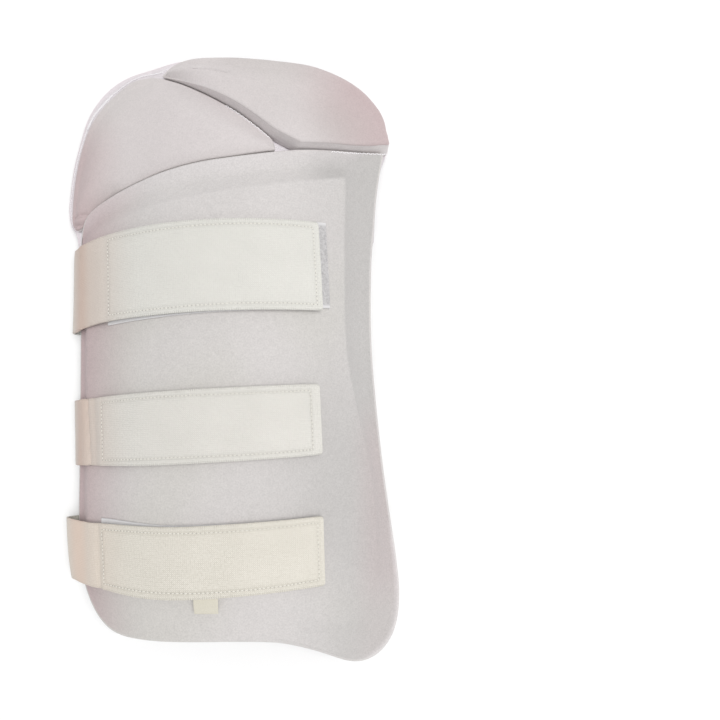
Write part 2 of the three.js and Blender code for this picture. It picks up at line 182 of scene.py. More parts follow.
def catmullRom(points, count):  # centripetal curve through the points, evenly sampled
    points = np.array(points, float)
    ends = np.vstack([2 * points[0] - points[1], points, 2 * points[-1] - points[-2]])
    steps = np.linspace(0, 1, 40, endpoint=False)[:, None]
    line = []
    for a, b, c, d in zip(ends[:-3], ends[1:-2], ends[2:-1], ends[3:]):
        before, between, after = (np.linalg.norm(q - p) ** 0.5 for p, q in ((a, b), (b, c), (c, d)))
        leave = ((b - a) / before - (c - a) / (before + between) + (c - b) / between) * between
        arrive = ((c - b) / between - (d - b) / (between + after) + (d - c) / after) * between
        line.extend(hermite(steps, b, leave, c, arrive))
    line.append(points[-1])
    return alongLine(np.array(line), count, closed=False)


def roundedPath(points):  # an open line eased through its points
    return catmullRom(points, 20 * len(points))


def waves(spots, size, seed):  # soft random relief from -1 to 1, sized in metres
    shift = Vector((seed * 7.3, seed * 3.1, seed * 5.7))
    return np.array([noise.noise(Vector(spot) / size + shift) for spot in spots])


# Mesh helpers


def meshObject(name, mesh, materials, smoothFaces=True):
    data = bpy.data.meshes.new(name)
    mesh.to_mesh(data)
    mesh.free()
    thing = bpy.data.objects.new(name, data)
    bpy.context.scene.collection.objects.link(thing)
    for material in materials:
        data.materials.append(material)
    data.polygons.foreach_set("use_smooth", [smoothFaces] * len(data.polygons))
    return thing


def coordinates(data):
    spots = np.zeros(len(data.vertices) * 3)
    data.vertices.foreach_get("co", spots)
    return spots.reshape(-1, 3)


def setCoordinates(data, spots):
    data.vertices.foreach_set("co", spots.ravel())
    data.update()


def numbersOf(data, name):
    values = np.zeros(len(data.vertices), int)
    data.attributes[name].data.foreach_get("value", values)
    return values


def setShare(data, name, values):
    attribute = data.attributes.new(name, "FLOAT", "POINT")
    attribute.data.foreach_set("value", np.clip(values, 0, 1).astype(np.float32))


def ringedShell(rim, spine, rings, crest=None):
    # A closed flat-pattern form: each ring is (line it starts from, share of the way to the spine,
    # inset towards the spine, height); the last two may differ from point to point
    lines = {"rim": rim}
    hearts = nearestOn(rim, spine, closed=False)[1]
    if crest is not None:
        lines["crest"] = crossings(crest, hearts, rim)
    mesh = bmesh.new()
    home = mesh.verts.layers.int.new("home")
    level = mesh.verts.layers.int.new("level")
    for number, (start, share, inset, height) in enumerate(rings):
        inward = hearts - lines[start]
        inward = inward / np.linalg.norm(inward, axis=1)[:, None]
        flat = lines[start] + (hearts - lines[start]) * share + inward * np.reshape(inset, (-1, 1))
        spots = np.column_stack([flat, np.broadcast_to(height, len(rim))])
        if number == 0:
            loop = [mesh.verts.new(spot) for spot in spots]
            for index, vert in enumerate(loop):
                vert[home] = index
            edges = [mesh.edges.new((loop[index - 1], vert)) for index, vert in enumerate(loop)]
            bmesh.ops.triangle_fill(mesh, use_beauty=True, edges=edges)
            continue
        grown = bmesh.ops.extrude_edge_only(mesh, edges=edges)["geom"]
        fresh = {item for item in grown if isinstance(item, bmesh.types.BMVert)}
        for vert in fresh:
            vert.co = spots[vert[home]]
            vert[level] = number
        edges = [
            item for item in grown
            if isinstance(item, bmesh.types.BMEdge) and item.verts[0] in fresh and item.verts[1] in fresh
        ]
    bmesh.ops.triangle_fill(mesh, use_beauty=True, edges=edges)
    bmesh.ops.recalc_face_normals(mesh, faces=mesh.faces)
    return mesh


def quarterTurns(steps):
    return np.linspace(0, math.pi / 2, steps + 1)


def footArc(radius, low, steps):  # rings of a quarter round, from the underside out to the rim
    return [
        ("rim", 0, radius * (1 - math.sin(turn)), low + radius * (1 - math.cos(turn)))
        for turn in quarterTurns(steps)
    ]


def edgeArc(inset, reach, low, high, steps):  # rings of a quarter round, from an inset on the side to the top
    return [
        ("rim", 0, inset + reach * (1 - math.cos(turn)), low + (high - low) * math.sin(turn))
        for turn in quarterTurns(steps)
    ]


lastRing = 0.965  # share of the way to the spine at which a pad's rings end


def fieldRings(line, inset, height, count):
    # Rings from an inset to near the spine; share counts from the line, so the inset shrinks with it
    return [
        (line, share * lastRing, inset * (1 - share), height)
        for share in np.linspace(0, 1, count + 1)[1:]
    ]


# Materials


class Shade:  # a socket that can be used in expressions, and the maker of every other node
    def __init__(self, tree, socket=None):
        self.tree = tree
        self.socket = socket

    def node(self, kind, settings, values, out=0):
        made = self.tree.nodes.new(kind)
        for key, value in settings.items():
            setattr(made, key, value)
        for key, value in values.items():
            if isinstance(value, Shade):
                self.tree.links.new(value.socket, made.inputs[key])
            else:
                made.inputs[key].default_value = value
        return Shade(self.tree, made.outputs[out])

    def maths(self, operation, *values):
        return self.node("ShaderNodeMath", {"operation": operation}, dict(enumerate(values)))

    def __add__(self, other):
        return self.maths("ADD", self, other)

    def __radd__(self, other):
        return self.maths("ADD", other, self)

    def __sub__(self, other):
        return self.maths("SUBTRACT", self, other)

    def __rsub__(self, other):
        return self.maths("SUBTRACT", other, self)

    def __mul__(self, other):
        return self.maths("MULTIPLY", self, other)

    def __rmul__(self, other):
        return self.maths("MULTIPLY", other, self)

    def __truediv__(self, other):
        return self.maths("DIVIDE", self, other)

    def sine(self):
        return self.maths("SINE", self)

    def size(self):
        return self.maths("ABSOLUTE", self)

    def between(self, low, high):  # 0 below low, 1 above high, smooth between
        settings = {"interpolation_type": "SMOOTHSTEP"}
        return self.node("ShaderNodeMapRange", settings, {"Value": self, "From Min": low, "From Max": high})

    def mixed(self, share, low, high):  # from one colour to another, by a share
        values = {0: share, 6: low, 7: high}
        return self.node("ShaderNodeMix", {"data_type": "RGBA"}, values, out=2)

    def over(self, low, high):  # this mask turned into a colour between two
        return self.mixed(self, (*low, 1), (*high, 1))

    def marked(self, name):  # a share stored on the mesh
        return self.node("ShaderNodeAttribute", {"attribute_name": name}, {}, out=2)

    def place(self):  # where on the object
        return self.node("ShaderNodeTexCoord", {}, {}, out=3)

    def noise(self, where, size, detail, rough=0.5):
        values = {"Vector": where, "Scale": 1 / size, "Detail": detail, "Roughness": rough}
        return self.node("ShaderNodeTexNoise", {}, values)


def newCloth(name, roughness, sheen):
    material = bpy.data.materials.new(name)
    material.use_nodes = True
    shader = material.node_tree.nodes["Principled BSDF"]
    shader.inputs["Roughness"].default_value = roughness
    shader.inputs["Sheen Weight"].default_value = sheen
    shader.inputs["Sheen Roughness"].default_value = 0.6
    shader.inputs["Specular IOR Level"].default_value = 0.25
    return material, shader, Shade(material.node_tree)


def attach(graph, shader, colour, relief, depth, strength):
    graph.tree.links.new(colour.socket, shader.inputs["Base Color"])
    bump = graph.node("ShaderNodeBump", {}, {"Height": relief, "Distance": depth, "Strength": strength})
    graph.tree.links.new(bump.socket, shader.inputs["Normal"])


# Knitted cloth on the pads: sizes in metres of its blotches, nap, grain and slow drift of colour,
# and how much of each the tone takes
knit = {
    "blotch": 0.06,
    "nap": 0.0035,
    "grain": 0.0011,
    "drift": 0.11,
    "mix": (0.5, 0.8, 2.1),
    "relief": (0.6, 0.8),
    "depth": 0.00025,
}


def padCloth(name, look):
    material, shader, graph = newCloth(name, 0.82, 0.12)
    where = graph.place()
    blotches = graph.noise(where, knit["blotch"], 3)
    grain = graph.noise(where, knit["grain"], 2, 0.6)
    nap = graph.noise(where, knit["nap"], 4, 0.65)
    tone = blotches * knit["mix"][0] + nap * knit["mix"][1] + grain * knit["mix"][2] - 1.2

    def grainy(colour):
        dark, light = ([part * (1 + side * look["grain"]) for part in colour] for side in (-1, 1))
        return tone.over(dark, light)

    drift = graph.noise(where, knit["drift"], 1).between(0.35, 0.6) * 0.5
    colour = graph.mixed(drift, grainy(look["base"]), grainy(look["drift"]))
    # painted shade, then the tint (the cloth's pink, partly painted shade), then painted light, each by a
    # share on the mesh
    for mark in ("paintedShade", "tint", "paintedLight"):
        colour = graph.mixed(graph.marked(mark), colour, grainy(look[mark]))
    relief = grain * knit["relief"][1] + nap * knit["relief"][0]
    attach(graph, shader, colour, relief, knit["depth"], 0.6)
    return material


# Woven elastic, in metres: the pitch of its ribs and of the teeth on its hem, the hem's width, slubs
# and blotches. sunk is how much painted shade darkens it in the groove beside the thread and in crease
# valleys.
weaving = {
    "pitch": 0.0013,
    "teeth": 0.0015,
    "hem": 0.0018,
    "wobble": 0.006,
    "slub": 0.0014,
    "blotch": 0.02,
    "sunk": 0.35,
    "depth": 0.0003,
}


def elasticCloth(name, look):
    material, shader, graph = newCloth(name, 0.78, 0.18)
    flat = graph.node("ShaderNodeUVMap", {"uv_map": "band"}, {})
    along = graph.node("ShaderNodeSeparateXYZ", {}, {"Vector": flat})
    across = Shade(graph.tree, along.socket.node.outputs[1])
    turn = 2 * math.pi / weaving["pitch"]
    wobble = graph.noise(flat, weaving["wobble"], 2) * 0.35
    ribs = (along * turn + wobble).sine()
    cords = (across * turn + wobble * 0.7).sine()
    weave = ribs * cords * 0.5 + (ribs + cords) * 0.18 + 0.5
    blotches = graph.noise(flat, weaving["blotch"], 3)
    slubs = graph.noise(flat, weaving["slub"], 3, 0.7)
    edge = look["halfWidth"]
    hem = across.size().between(edge - weaving["hem"], edge - weaving["hem"] / 2)
    teeth = (along * (2 * math.pi / weaving["teeth"])).sine() * 0.5 + 0.5
    # sewn: painted shade in the stitch grooves and the crease valleys, which also sinks the relief
    sewn = graph.marked("sewn")
    tone = weave * 0.95 + blotches * 0.4 + slubs * 1.9 - 1.1
    tone = tone - hem * (teeth * 0.5 - 0.05) - sewn * weaving["sunk"]
    # tint: painted shade, warmer in hue, on the strap's turned part
    colour = graph.mixed(graph.marked("tint"), tone.over(look["dark"], look["light"]), (*look["tint"], 1))
    relief = weave * 0.5 + slubs * 0.6 - sewn * 1.6 - hem * teeth
    attach(graph, shader, colour, relief, weaving["depth"], 0.8)
    return material


# Brushed loops and their woven selvedge
loopLook = {
    "tufts": 900,
    "nap": 0.002,
    "dark": (0.375, 0.365, 0.365),
    "light": (0.65, 0.635, 0.64),
    "weft": 0.0012,
    "edgeDark": (0.57, 0.56, 0.565),
    "edgeLight": (0.7, 0.69, 0.695),
}


def pileCloth(look):
    material, shader, graph = newCloth("loopPile", 0.95, 0.3)
    where = graph.place()
    tufts = graph.node("ShaderNodeTexVoronoi", {}, {"Vector": where, "Scale": look["tufts"], "Randomness": 1})
    nap = graph.noise(where, look["nap"], 4, 0.7)
    pile = (nap * 1.7 + tufts * 0.5 - 0.65).over(look["dark"], look["light"])
    flat = graph.node("ShaderNodeUVMap", {"uv_map": "band"}, {})
    across = graph.node("ShaderNodeSeparateXYZ", {}, {"Vector": flat}, out=1)
    bare = graph.marked("selvedge")
    woven = (across * (2 * math.pi / look["weft"])).sine() * 0.2 + 0.6
    colour = graph.mixed(bare, pile, woven.over(look["edgeDark"], look["edgeLight"]))
    attach(graph, shader, colour, (nap + tufts) * (1 - bare), 0.0005, 0.9)
    return material


hookLook = {"hooks": 900, "dark": (0.52, 0.51, 0.5), "light": (0.7, 0.69, 0.68)}


def hookTape(look):
    material, shader, graph = newCloth("hookTape", 0.55, 0)
    values = {"Vector": graph.place(), "Scale": look["hooks"], "Randomness": 0.3}
    hooks = graph.node("ShaderNodeTexVoronoi", {}, values)
    attach(graph, shader, hooks.over(look["dark"], look["light"]), hooks, 0.0006, 0.8)
    return material


def threadCloth(name, look):  # thread and the label's tape, with their twist in metres
    material, shader, graph = newCloth(name, 0.6, 0.1)
    twist = graph.noise(graph.place(), look["twist"], 2)
    attach(graph, shader, twist.over(look["dark"], look["light"]), twist, 0.0001, look["bump"])
    return material


print("materials")
# In each look the shade colour is painted shade, the pale one painted light, and the tint the cloth's pink,
# partly painted shade
padLook = {
    "grain": 0.095,
    "base": (0.59, 0.57, 0.545),
    "tint": (0.47, 0.365, 0.37),
    "drift": (0.6, 0.57, 0.575),
    "paintedShade": (0.47, 0.455, 0.445),
    "paintedLight": (0.74, 0.7, 0.71),
}
hipLook = {
    "grain": 0.07,
    "base": (0.615, 0.575, 0.565),
    "tint": (0.49, 0.37, 0.375),
    "drift": (0.63, 0.585, 0.59),
    "paintedShade": (0.5, 0.465, 0.455),
    "paintedLight": (0.74, 0.7, 0.7),
}
backingLook = {
    "grain": 0.09,
    "base": (0.735, 0.695, 0.715),
    "tint": (0.76, 0.6, 0.64),
    "drift": (0.8, 0.76, 0.8),
    "paintedShade": (0.6, 0.56, 0.58),
    "paintedLight": (0.9, 0.88, 0.9),
}
liningLook = {
    "grain": 0.1,
    "base": (0.56, 0.54, 0.54),
    "tint": (0.5, 0.42, 0.43),
    "drift": (0.56, 0.53, 0.54),
    "paintedShade": (0.45, 0.43, 0.43),
    "paintedLight": (0.7, 0.68, 0.68),
}
threadLooks = {
    "strapThread": {"light": (0.88, 0.86, 0.8), "dark": (0.74, 0.72, 0.66), "twist": 0.0006, "bump": 0.6},
    # the needle holes' dark colours paint the shade in the holes
    "needleHoleShade": {"light": (0.5, 0.48, 0.44), "dark": (0.3, 0.285, 0.26), "twist": 0.0006, "bump": 0.6},
    "hipThread": {"light": (0.97, 0.96, 0.97), "dark": (0.84, 0.82, 0.84), "twist": 0.0006, "bump": 0.6},
    "labelTape": {"light": (0.71, 0.675, 0.585), "dark": (0.56, 0.53, 0.44), "twist": 0.0008, "bump": 0.5},
}
padFace = padCloth("padCloth", padLook)
hipFace = padCloth("hipCloth", hipLook)
backingFace = padCloth("backingCloth", backingLook)
liningFace = padCloth("liningCloth", liningLook)
loopFace = pileCloth(loopLook)
hookFace = hookTape(hookLook)
strapThread, needleHoleShade, hipThread, labelFace = (threadCloth(*pair) for pair in threadLooks.items())


# Pads

# Zones are (side, start, edge): millimetres out from the middle, or from a line, at which a zone starts,
# and over how many it comes in. A fourth number is the share that the zone takes away instead.
thighPad = {
    "thickness": 8,
    "edgeRound": 3.2,
    "hingeRound": 1.3,
    "footRound": 1.8,
    "blockRise": 7,
    "slopeWidth": 16,
    "widening": [(16, [("down", 130, 40)])],
    "softSlope": [(1, [("left", 20, 60)]), (0.7, [("down", 120, 50)])],
    "blur": (0.09, 0.45),
    "waviness": 0.22,
    # tint: the cloth's pink on the left flank and the lower right corner, deepened there as painted shade
    # where they lean away from the light
    "tint": [
        (0.95, [("left", 40, 74), ("top", 0, 1)]),
        (0.34, [("right", 90, 26), ("down", 20, 50), ("down", 150, 40, 0.6), ("top", 0, 1)]),
    ],
    # painted shade beyond the crest, on the right side and towards the lower right
    "paintedShade": [
        (0.6, [("crest", -1.5, 3), ("right", 50, 30), ("down", 120, 45, 0.8), ("top", 0, 1)]),
        (0.52, [("right", -10, 90), ("down", -20, 90), ("down", 110, 60, 1), ("top", 0, 1)]),
        (0.36, [("right", 30, 60), ("top", 0, 1)]),
        (0.3, [("right", 70, 30), ("down", 110, 40), ("top", 0, 1)]),
    ],
    # painted light: a painted highlight on the rounded rim at the lower right, and painted light on the
    # margin by the hinge, which the upper hip pad's wall shades
    "paintedLight": [
        (0.3, [("rim", 3.5, 2, 1), ("right", 100, 15), ("down", 110, 30)]),
        (0.3, [("hinge", 3, 14, 1), ("top", 0, 1)]),
    ],
    "points": 620,
    "spine": [(0.1, -0.46), (0, -0.2), (0, 0.28)],
    "rim": [
        (0.96, 0.722, 0.3),
        *hingeRows,
        (-0.88, 0.455), (-0.9, 0.39), (-0.918, 0.3), (-0.916, 0.1), (-0.898, -0.141),
        (-0.88, -0.378), (-0.87, -0.55), (-0.825, -0.71), (-0.742, -0.801), (-0.64, -0.859),
        (-0.52, -0.888), (-0.3, -0.888), (-0.1, -0.883), (0.11, -0.881), (0.31, -0.891),
        (0.44, -0.911), (0.58, -0.94), (0.74, -0.981), (0.848, -0.983), (0.951, -0.952),
        (1.025, -0.888), (1.053, -0.79), (1.042, -0.68), (1.01, -0.54), (0.976, -0.379),
        (0.956, -0.264), (0.932, -0.13), (0.904, 0.065), (0.901, 0.25), (0.904, 0.37),
        (0.914, 0.43), (0.918, 0.5), (0.924, 0.58), (0.941, 0.66),
    ],
    "crest": [
        (0.688, 0.6, 0.12), (0.42, 0.565), (0.17, 0.526), (-0.066, 0.495), (-0.25, 0.476),
        (-0.45, 0.455), (-0.64, 0.431), (-0.79, 0.4, 0.7), (-0.8, 0.3), (-0.78, 0), (-0.745, -0.38),
        (-0.72, -0.58), (-0.66, -0.69, 0.8), (-0.4, -0.715), (-0.03, -0.716), (0.2, -0.72),
        (0.33, -0.765), (0.47, -0.82), (0.62, -0.853), (0.76, -0.84), (0.845, -0.78),
        (0.875, -0.68), (0.885, -0.56), (0.867, -0.42), (0.8, -0.235), (0.726, -0.07), (0.69, 0.05),
        (0.683, 0.3),
    ],
    # Dents and low ridges: where they start and end on the pattern, height and half width in millimetres
    "marks": [
        {"start": (-0.44, 0.487), "end": (-0.435, 0.483), "height": -1.2, "width": 1.3},
        {"start": (0.75, -0.795), "end": (0.752, -0.797), "height": -1.1, "width": 0.9},
        {"start": (0.79, -0.8), "end": (0.792, -0.802), "height": -1.2, "width": 1.1},
    ],
}
thighLine = roundedLine(thighPad["rim"])
blockTop = thighPad["thickness"] + thighPad["blockRise"]


def marksRelief(flat, marks):
    total = np.zeros(len(flat))
    for mark in marks:
        line = plan([mark["start"], mark["end"]])
        gaps = nearestOn(flat, line, closed=False)[0]
        total += mark["height"] * np.exp(-((gaps / mark["width"]) ** 2))
    return total


def sidesOf(flat):
    return {"left": -flat[:, 0], "right": flat[:, 0], "down": -flat[:, 1], "up": flat[:, 1]}


def inZones(sides, rows):  # the sum of rows of (share, zones)
    total = 0
    for share, zones in rows:
        for side, start, edge, *less in zones:
            zone = beyond(sides[side], start, edge)
            share = share * (1 - less[0] * zone if less else zone)
        total = total + share
    return total


def onPattern(thing, underTo):  # lays a flat-pattern pad on the arch, with its underside in lining cloth
    data = thing.data
    spots = coordinates(data)
    levels = numbersOf(data, "level")
    for face in data.polygons:
        if all(levels[index] <= underTo for index in face.vertices):
            face.material_index = 1
    setCoordinates(data, onArch(spots[:, 0], spots[:, 1], spots[:, 2]))
    for name in ("home", "level"):
        data.attributes.remove(data.attributes[name])


def slopeFall(place, blur):  # share fallen at a place on the block's slope, 0 its crest and 1 its foot
    places = np.linspace(-0.5, 1.2, 400)
    steep = smooth((places / blur + 1) / 2) * np.clip(1 - places, 0, 1) ** 0.6
    fallen = np.cumsum(steep)
    return np.interp(place, places, fallen / fallen[-1])


def makeThighPad():
    size = thighPad
    rim = alongLine(thighLine, size["points"])
    crest = roundedLine(size["crest"])
    hinge = plan(hingeRows)
    spine = plan(size["spine"])
    top = size["thickness"]
    hearts = nearestOn(rim, spine, closed=False)[1]
    room = np.linalg.norm(rim - crossings(crest, hearts, rim), axis=1) - size["edgeRound"]
    wide = size["slopeWidth"] + inZones(sidesOf(rim), size["widening"])
    slope = evened(np.minimum(wide, 0.85 * room), 6)
    atHinge = 1 - beyond(nearestOn(rim, hinge, closed=False)[0], 0, 12)
    edgeRound = size["edgeRound"] + (size["hingeRound"] - size["edgeRound"]) * atHinge
    under = fieldRings("rim", size["footRound"], 0, 12)[::-1]
    side = footArc(size["footRound"], 0, 4) + edgeArc(0, edgeRound, top - edgeRound, top, 6)
    outer = [("crest", 0, -slope * share, top) for share in (1.1, 1, 0.85, 0.7, 0.55, 0.42, 0.3, 0.2)]
    atCrest = [("crest", 0, inset, top) for inset in (-2, -1.2, -0.6, 0, 0.6)]
    inner = [("crest", 0, inset, top) for inset in (1.2, 2.2, 4)]
    rings = under + side + outer + atCrest + inner + fieldRings("crest", 4, blockTop, 26)
    thing = meshObject("thighPad", ringedShell(rim, spine, rings, crest), [padFace, liningFace])

    spots = coordinates(thing.data)
    levels = numbersOf(thing.data, "level")
    slopes = slope[numbersOf(thing.data, "home")]
    edgeEnd = len(under) + len(side) - 1
    onTop = levels >= edgeEnd
    flat = spots[:, :2]
    toCrest = nearestOn(flat, crest)[0]
    sides = sidesOf(flat)
    sides["crest"] = np.where(levels >= edgeEnd + len(outer) + len(atCrest), -toCrest, toCrest)
    sides["rim"] = nearestOn(flat, rim)[0]
    sides["hinge"] = nearestOn(flat, hinge, closed=False)[0]
    sides["top"] = onTop
    soft = np.clip(inZones(sides, size["softSlope"]), 0, 1)
    crisp, blurred = (slopeFall(sides["crest"] / slopes, blur) for blur in size["blur"])
    relief = top + size["blockRise"] * (1 - crisp * (1 - soft) - blurred * soft)
    relief += marksRelief(flat, size["marks"]) + size["waviness"] * waves(spots * mm, 0.055, 1)
    spots[:, 2] = np.where(onTop, relief, spots[:, 2])
    setCoordinates(thing.data, spots)
    # shares of painted shade, of the tint (partly painted shade) and of painted light
    for mark in ("tint", "paintedShade", "paintedLight"):
        setShare(thing.data, mark, inZones(sides, size[mark]))
    onPattern(thing, len(under))
    return thing


# Along each zone of a hip pad's rim the side is a wall up to one height that leans in by so much, rounds
# over within a reach to its top, and climbs from there to the full height. The outer zone is the rest of
# the rim. Towards its tip a pad is lower. Blush lines turn the cloth pinker and, as painted shade where
# the pad leans away from the light, darker; shade lines darken it with painted shade, and walls may take
# painted light.
hipPads = {
    "lower": {
        "height": 12,
        "paintedWallLight": 0,
        "climb": 38,
        "tip": {"spot": (-0.9, 0.49), "share": 0.8, "reach": 30},
        "points": 460,
        "spine": [(-0.92, 0.485), (-0.84, 0.61), (-0.62, 0.72), (-0.34, 0.76), (0.05, 0.73), (0.25, 0.69)],
        "rim": [
            *seamRows,
            (0.288, 0.703, 0.5), (0.3, 0.668, 0.2),
            *hingeRows[4:],
            (-0.88, 0.452, 0.6), (-0.955, 0.441, 0.7), (-0.99, 0.47, 0.8), (-0.982, 0.53),
            (-0.967, 0.6), (-0.945, 0.67), (-0.905, 0.755), (-0.85, 0.825), (-0.765, 0.882),
            (-0.66, 0.926), (-0.56, 0.958, 0.7), (-0.44, 0.958), (-0.36, 0.943, 0.2),
        ],
        "outer": {"wall": 3.2, "lean": 0.3, "top": 5.8, "reach": 8},
        "zones": [
            {
                "line": [(-0.36, 0.945), *seamRows, (0.29, 0.7)],
                "wall": 4,
                "lean": 0,
                "top": 5.2,
                "reach": 1.8,
            },
            {
                "line": [(0.29, 0.668), *hingeRows[4:9]],
                "wall": 6.6,
                "lean": 0.2,
                "top": 8.8,
                "reach": 3.2,
            },
            {
                "line": [*hingeRows[9:], (-0.88, 0.455)],
                "wall": 4.6,
                "lean": 0.6,
                "top": 9.6,
                "reach": 7,
            },
        ],
        "marks": [
            {"start": (-0.965, 0.489), "end": (-0.85, 0.492), "height": -1.5, "width": 1.5},
            {"start": (-0.96, 0.474), "end": (-0.87, 0.473), "height": 0.8, "width": 1.6},
            {"start": (-0.97, 0.46), "end": (-0.86, 0.457), "height": -1.6, "width": 1.3},
            {"start": (-0.8, 0.505), "end": (-0.72, 0.545), "height": -0.7, "width": 4},
        ],
        "blushAndShadeLines": [{"line": [(-0.95, 0.45), (-0.97, 0.56), (-0.94, 0.67)], "reach": 60, "share": 0.75}],
        "paintedShades": [
            {"line": [(-0.9, 0.465), (-0.77, 0.51), (-0.64, 0.543)], "reach": 13, "share": 0.8},
            {
                "line": [(-0.58, 0.554), (-0.31, 0.594), (0.09, 0.637), (0.27, 0.661)],
                "reach": 9,
                "share": 0.35,
            },
        ],
    },
    "upper": {
        "height": 16.5,
        "paintedWallLight": 0.6,
        "climb": 26,
        "tip": {"spot": (-0.35, 0.945), "share": 0.3, "reach": 58},
        "points": 460,
        "spine": [(-0.3, 0.945), (-0.05, 0.93), (0.25, 0.885), (0.7, 0.84), (0.86, 0.8)],
        "rim": [
            (1.002, 0.722, 0.3), (0.988, 0.785), (0.946, 0.848), (0.877, 0.897), (0.788, 0.939),
            (0.68, 0.969), (0.55, 0.989), (0.44, 0.996), (0.22, 0.986), (0.0, 0.985),
            (-0.15, 0.995), (-0.23, 0.993), (-0.3, 0.983), (-0.372, 0.95, 0.5),
            *seamRows,
            (0.345, 0.699), (0.418, 0.684, 0.15),
            hingeRows[1],
            hingeRows[0],
        ],
        "outer": {"wall": 9.5, "lean": 0.3, "top": 13.2, "reach": 9},
        "zones": [
            {
                "line": [(-0.3, 0.93), *seamRows, (0.345, 0.699)],
                "wall": 14.6,
                "lean": 1.9,
                "top": 16.4,
                "reach": 2.2,
            },
            {
                "line": [(0.985, 0.77), (0.97, 0.81), (0.93, 0.86)],
                "wall": 10,
                "lean": 1.5,
                "top": 13.5,
                "reach": 8,
            },
            {
                "line": [(0.418, 0.684), hingeRows[1], hingeRows[0], (0.96, 0.722)],
                "wall": 14.4,
                "lean": 2.4,
                "top": 16.4,
                "reach": 2.4,
            },
            {
                "line": [(1.002, 0.722), (0.996, 0.745)],
                "wall": 13,
                "lean": 6.2,
                "top": 15.2,
                "reach": 3.6,
            },
        ],
        "marks": [],
        "blushAndShadeLines": [
            {"line": [(0.82, 0.93), (0.94, 0.85), (0.98, 0.75)], "reach": 72, "share": 0.7},
        ],
        "paintedShades": [
            {"line": [(0.1, 0.99), (0.44, 1.0), (0.68, 0.98), (0.9, 0.88)], "reach": 26, "share": 0.45},
            {"line": [(0.3, 0.85), (0.6, 0.8)], "reach": 60, "share": 0.38},
            {"line": [(0.7, 0.8), (0.95, 0.74)], "reach": 45, "share": 0.7},
        ],
    },
}


def nearShare(flat, lines):  # how near each point is to soft lines, from 0 to each line's share
    total = np.zeros(len(flat))
    for line in lines:
        gaps = nearestOn(flat, plan(line["line"]), closed=False)[0]
        total += line["share"] * (1 - smooth(gaps / line["reach"]))
    return total


def rimPull(flat, rim):  # how strongly each rim point pulls on each place, by a high power of nearness
    steps = np.linalg.norm(rim - np.roll(rim, 1, axis=0), axis=1)
    return steps / np.linalg.norm(flat[:, None] - rim[None], axis=2) ** 6


def crownHeights(flat, rim, top, edge, size):
    # Height by a soft distance to the whole rim, so that it has no crease where the rim's sides meet
    pull = rimPull(flat, rim)
    total = pull.sum(axis=1)
    away = (total / (3 * math.pi / 8)) ** -0.2
    start = pull @ top / total
    inset = np.maximum(away - pull @ edge / total, 0)
    climbed = smooth(inset / size["climb"] + 0.5) * 2 - 1
    return start + (size["height"] - start) * climbed


# What both hip pads share: gap to the seam, round at the foot, how much of the room to the spine the lean
# and the edge's round may take, waviness, and how often the crown is evened
hipShape = {"gap": 0.2, "foot": 1.2, "leanRoom": 0.25, "roundRoom": 0.5, "waviness": 0.3, "evening": 20}


def hipProfile(rim, away, size):  # wall, lean, top and reach at each rim point
    profile = {key: np.full(len(rim), value, float) for key, value in size["outer"].items()}
    for zone in size["zones"]:
        share = 1 - beyond(nearestOn(rim, plan(zone["line"]), closed=False)[0], 1.5, 12)
        for key in profile:
            profile[key] = profile[key] * (1 - share) + zone[key] * share
    fromTip = np.linalg.norm(rim - plan([size["tip"]["spot"]])[0], axis=1)
    lowered = size["tip"]["share"] + (1 - size["tip"]["share"]) * beyond(fromTip, 0, size["tip"]["reach"])
    profile["lean"] = evened(profile["lean"], 12)
    wall, lean, top, reach = (evened(profile[key] * lowered, 4) for key in ("wall", "lean", "top", "reach"))
    lean = np.minimum(lean, hipShape["leanRoom"] * away)
    return wall, lean, top, np.minimum(reach, hipShape["roundRoom"] * away)


def crownPad(mesh, firstInner, crown):  # lifts the inner rings to the crown, then evens them out
    level = mesh.verts.layers.int["level"]
    inner = [vert for vert in mesh.verts if vert[level] >= firstInner]
    heights = np.array([vert.co.z for vert in inner])
    settled = smooth(np.array([vert[level] - firstInner + 1 for vert in inner]) / 6)
    goals = crown(np.array([vert.co[:2] for vert in inner]))
    for vert, height in zip(inner, heights + (goals - heights) * settled):
        vert.co.z = height
    for turn in range(hipShape["evening"]):
        bmesh.ops.smooth_vert(
            mesh, verts=inner, factor=0.5, use_axis_x=False, use_axis_y=False, use_axis_z=True
        )


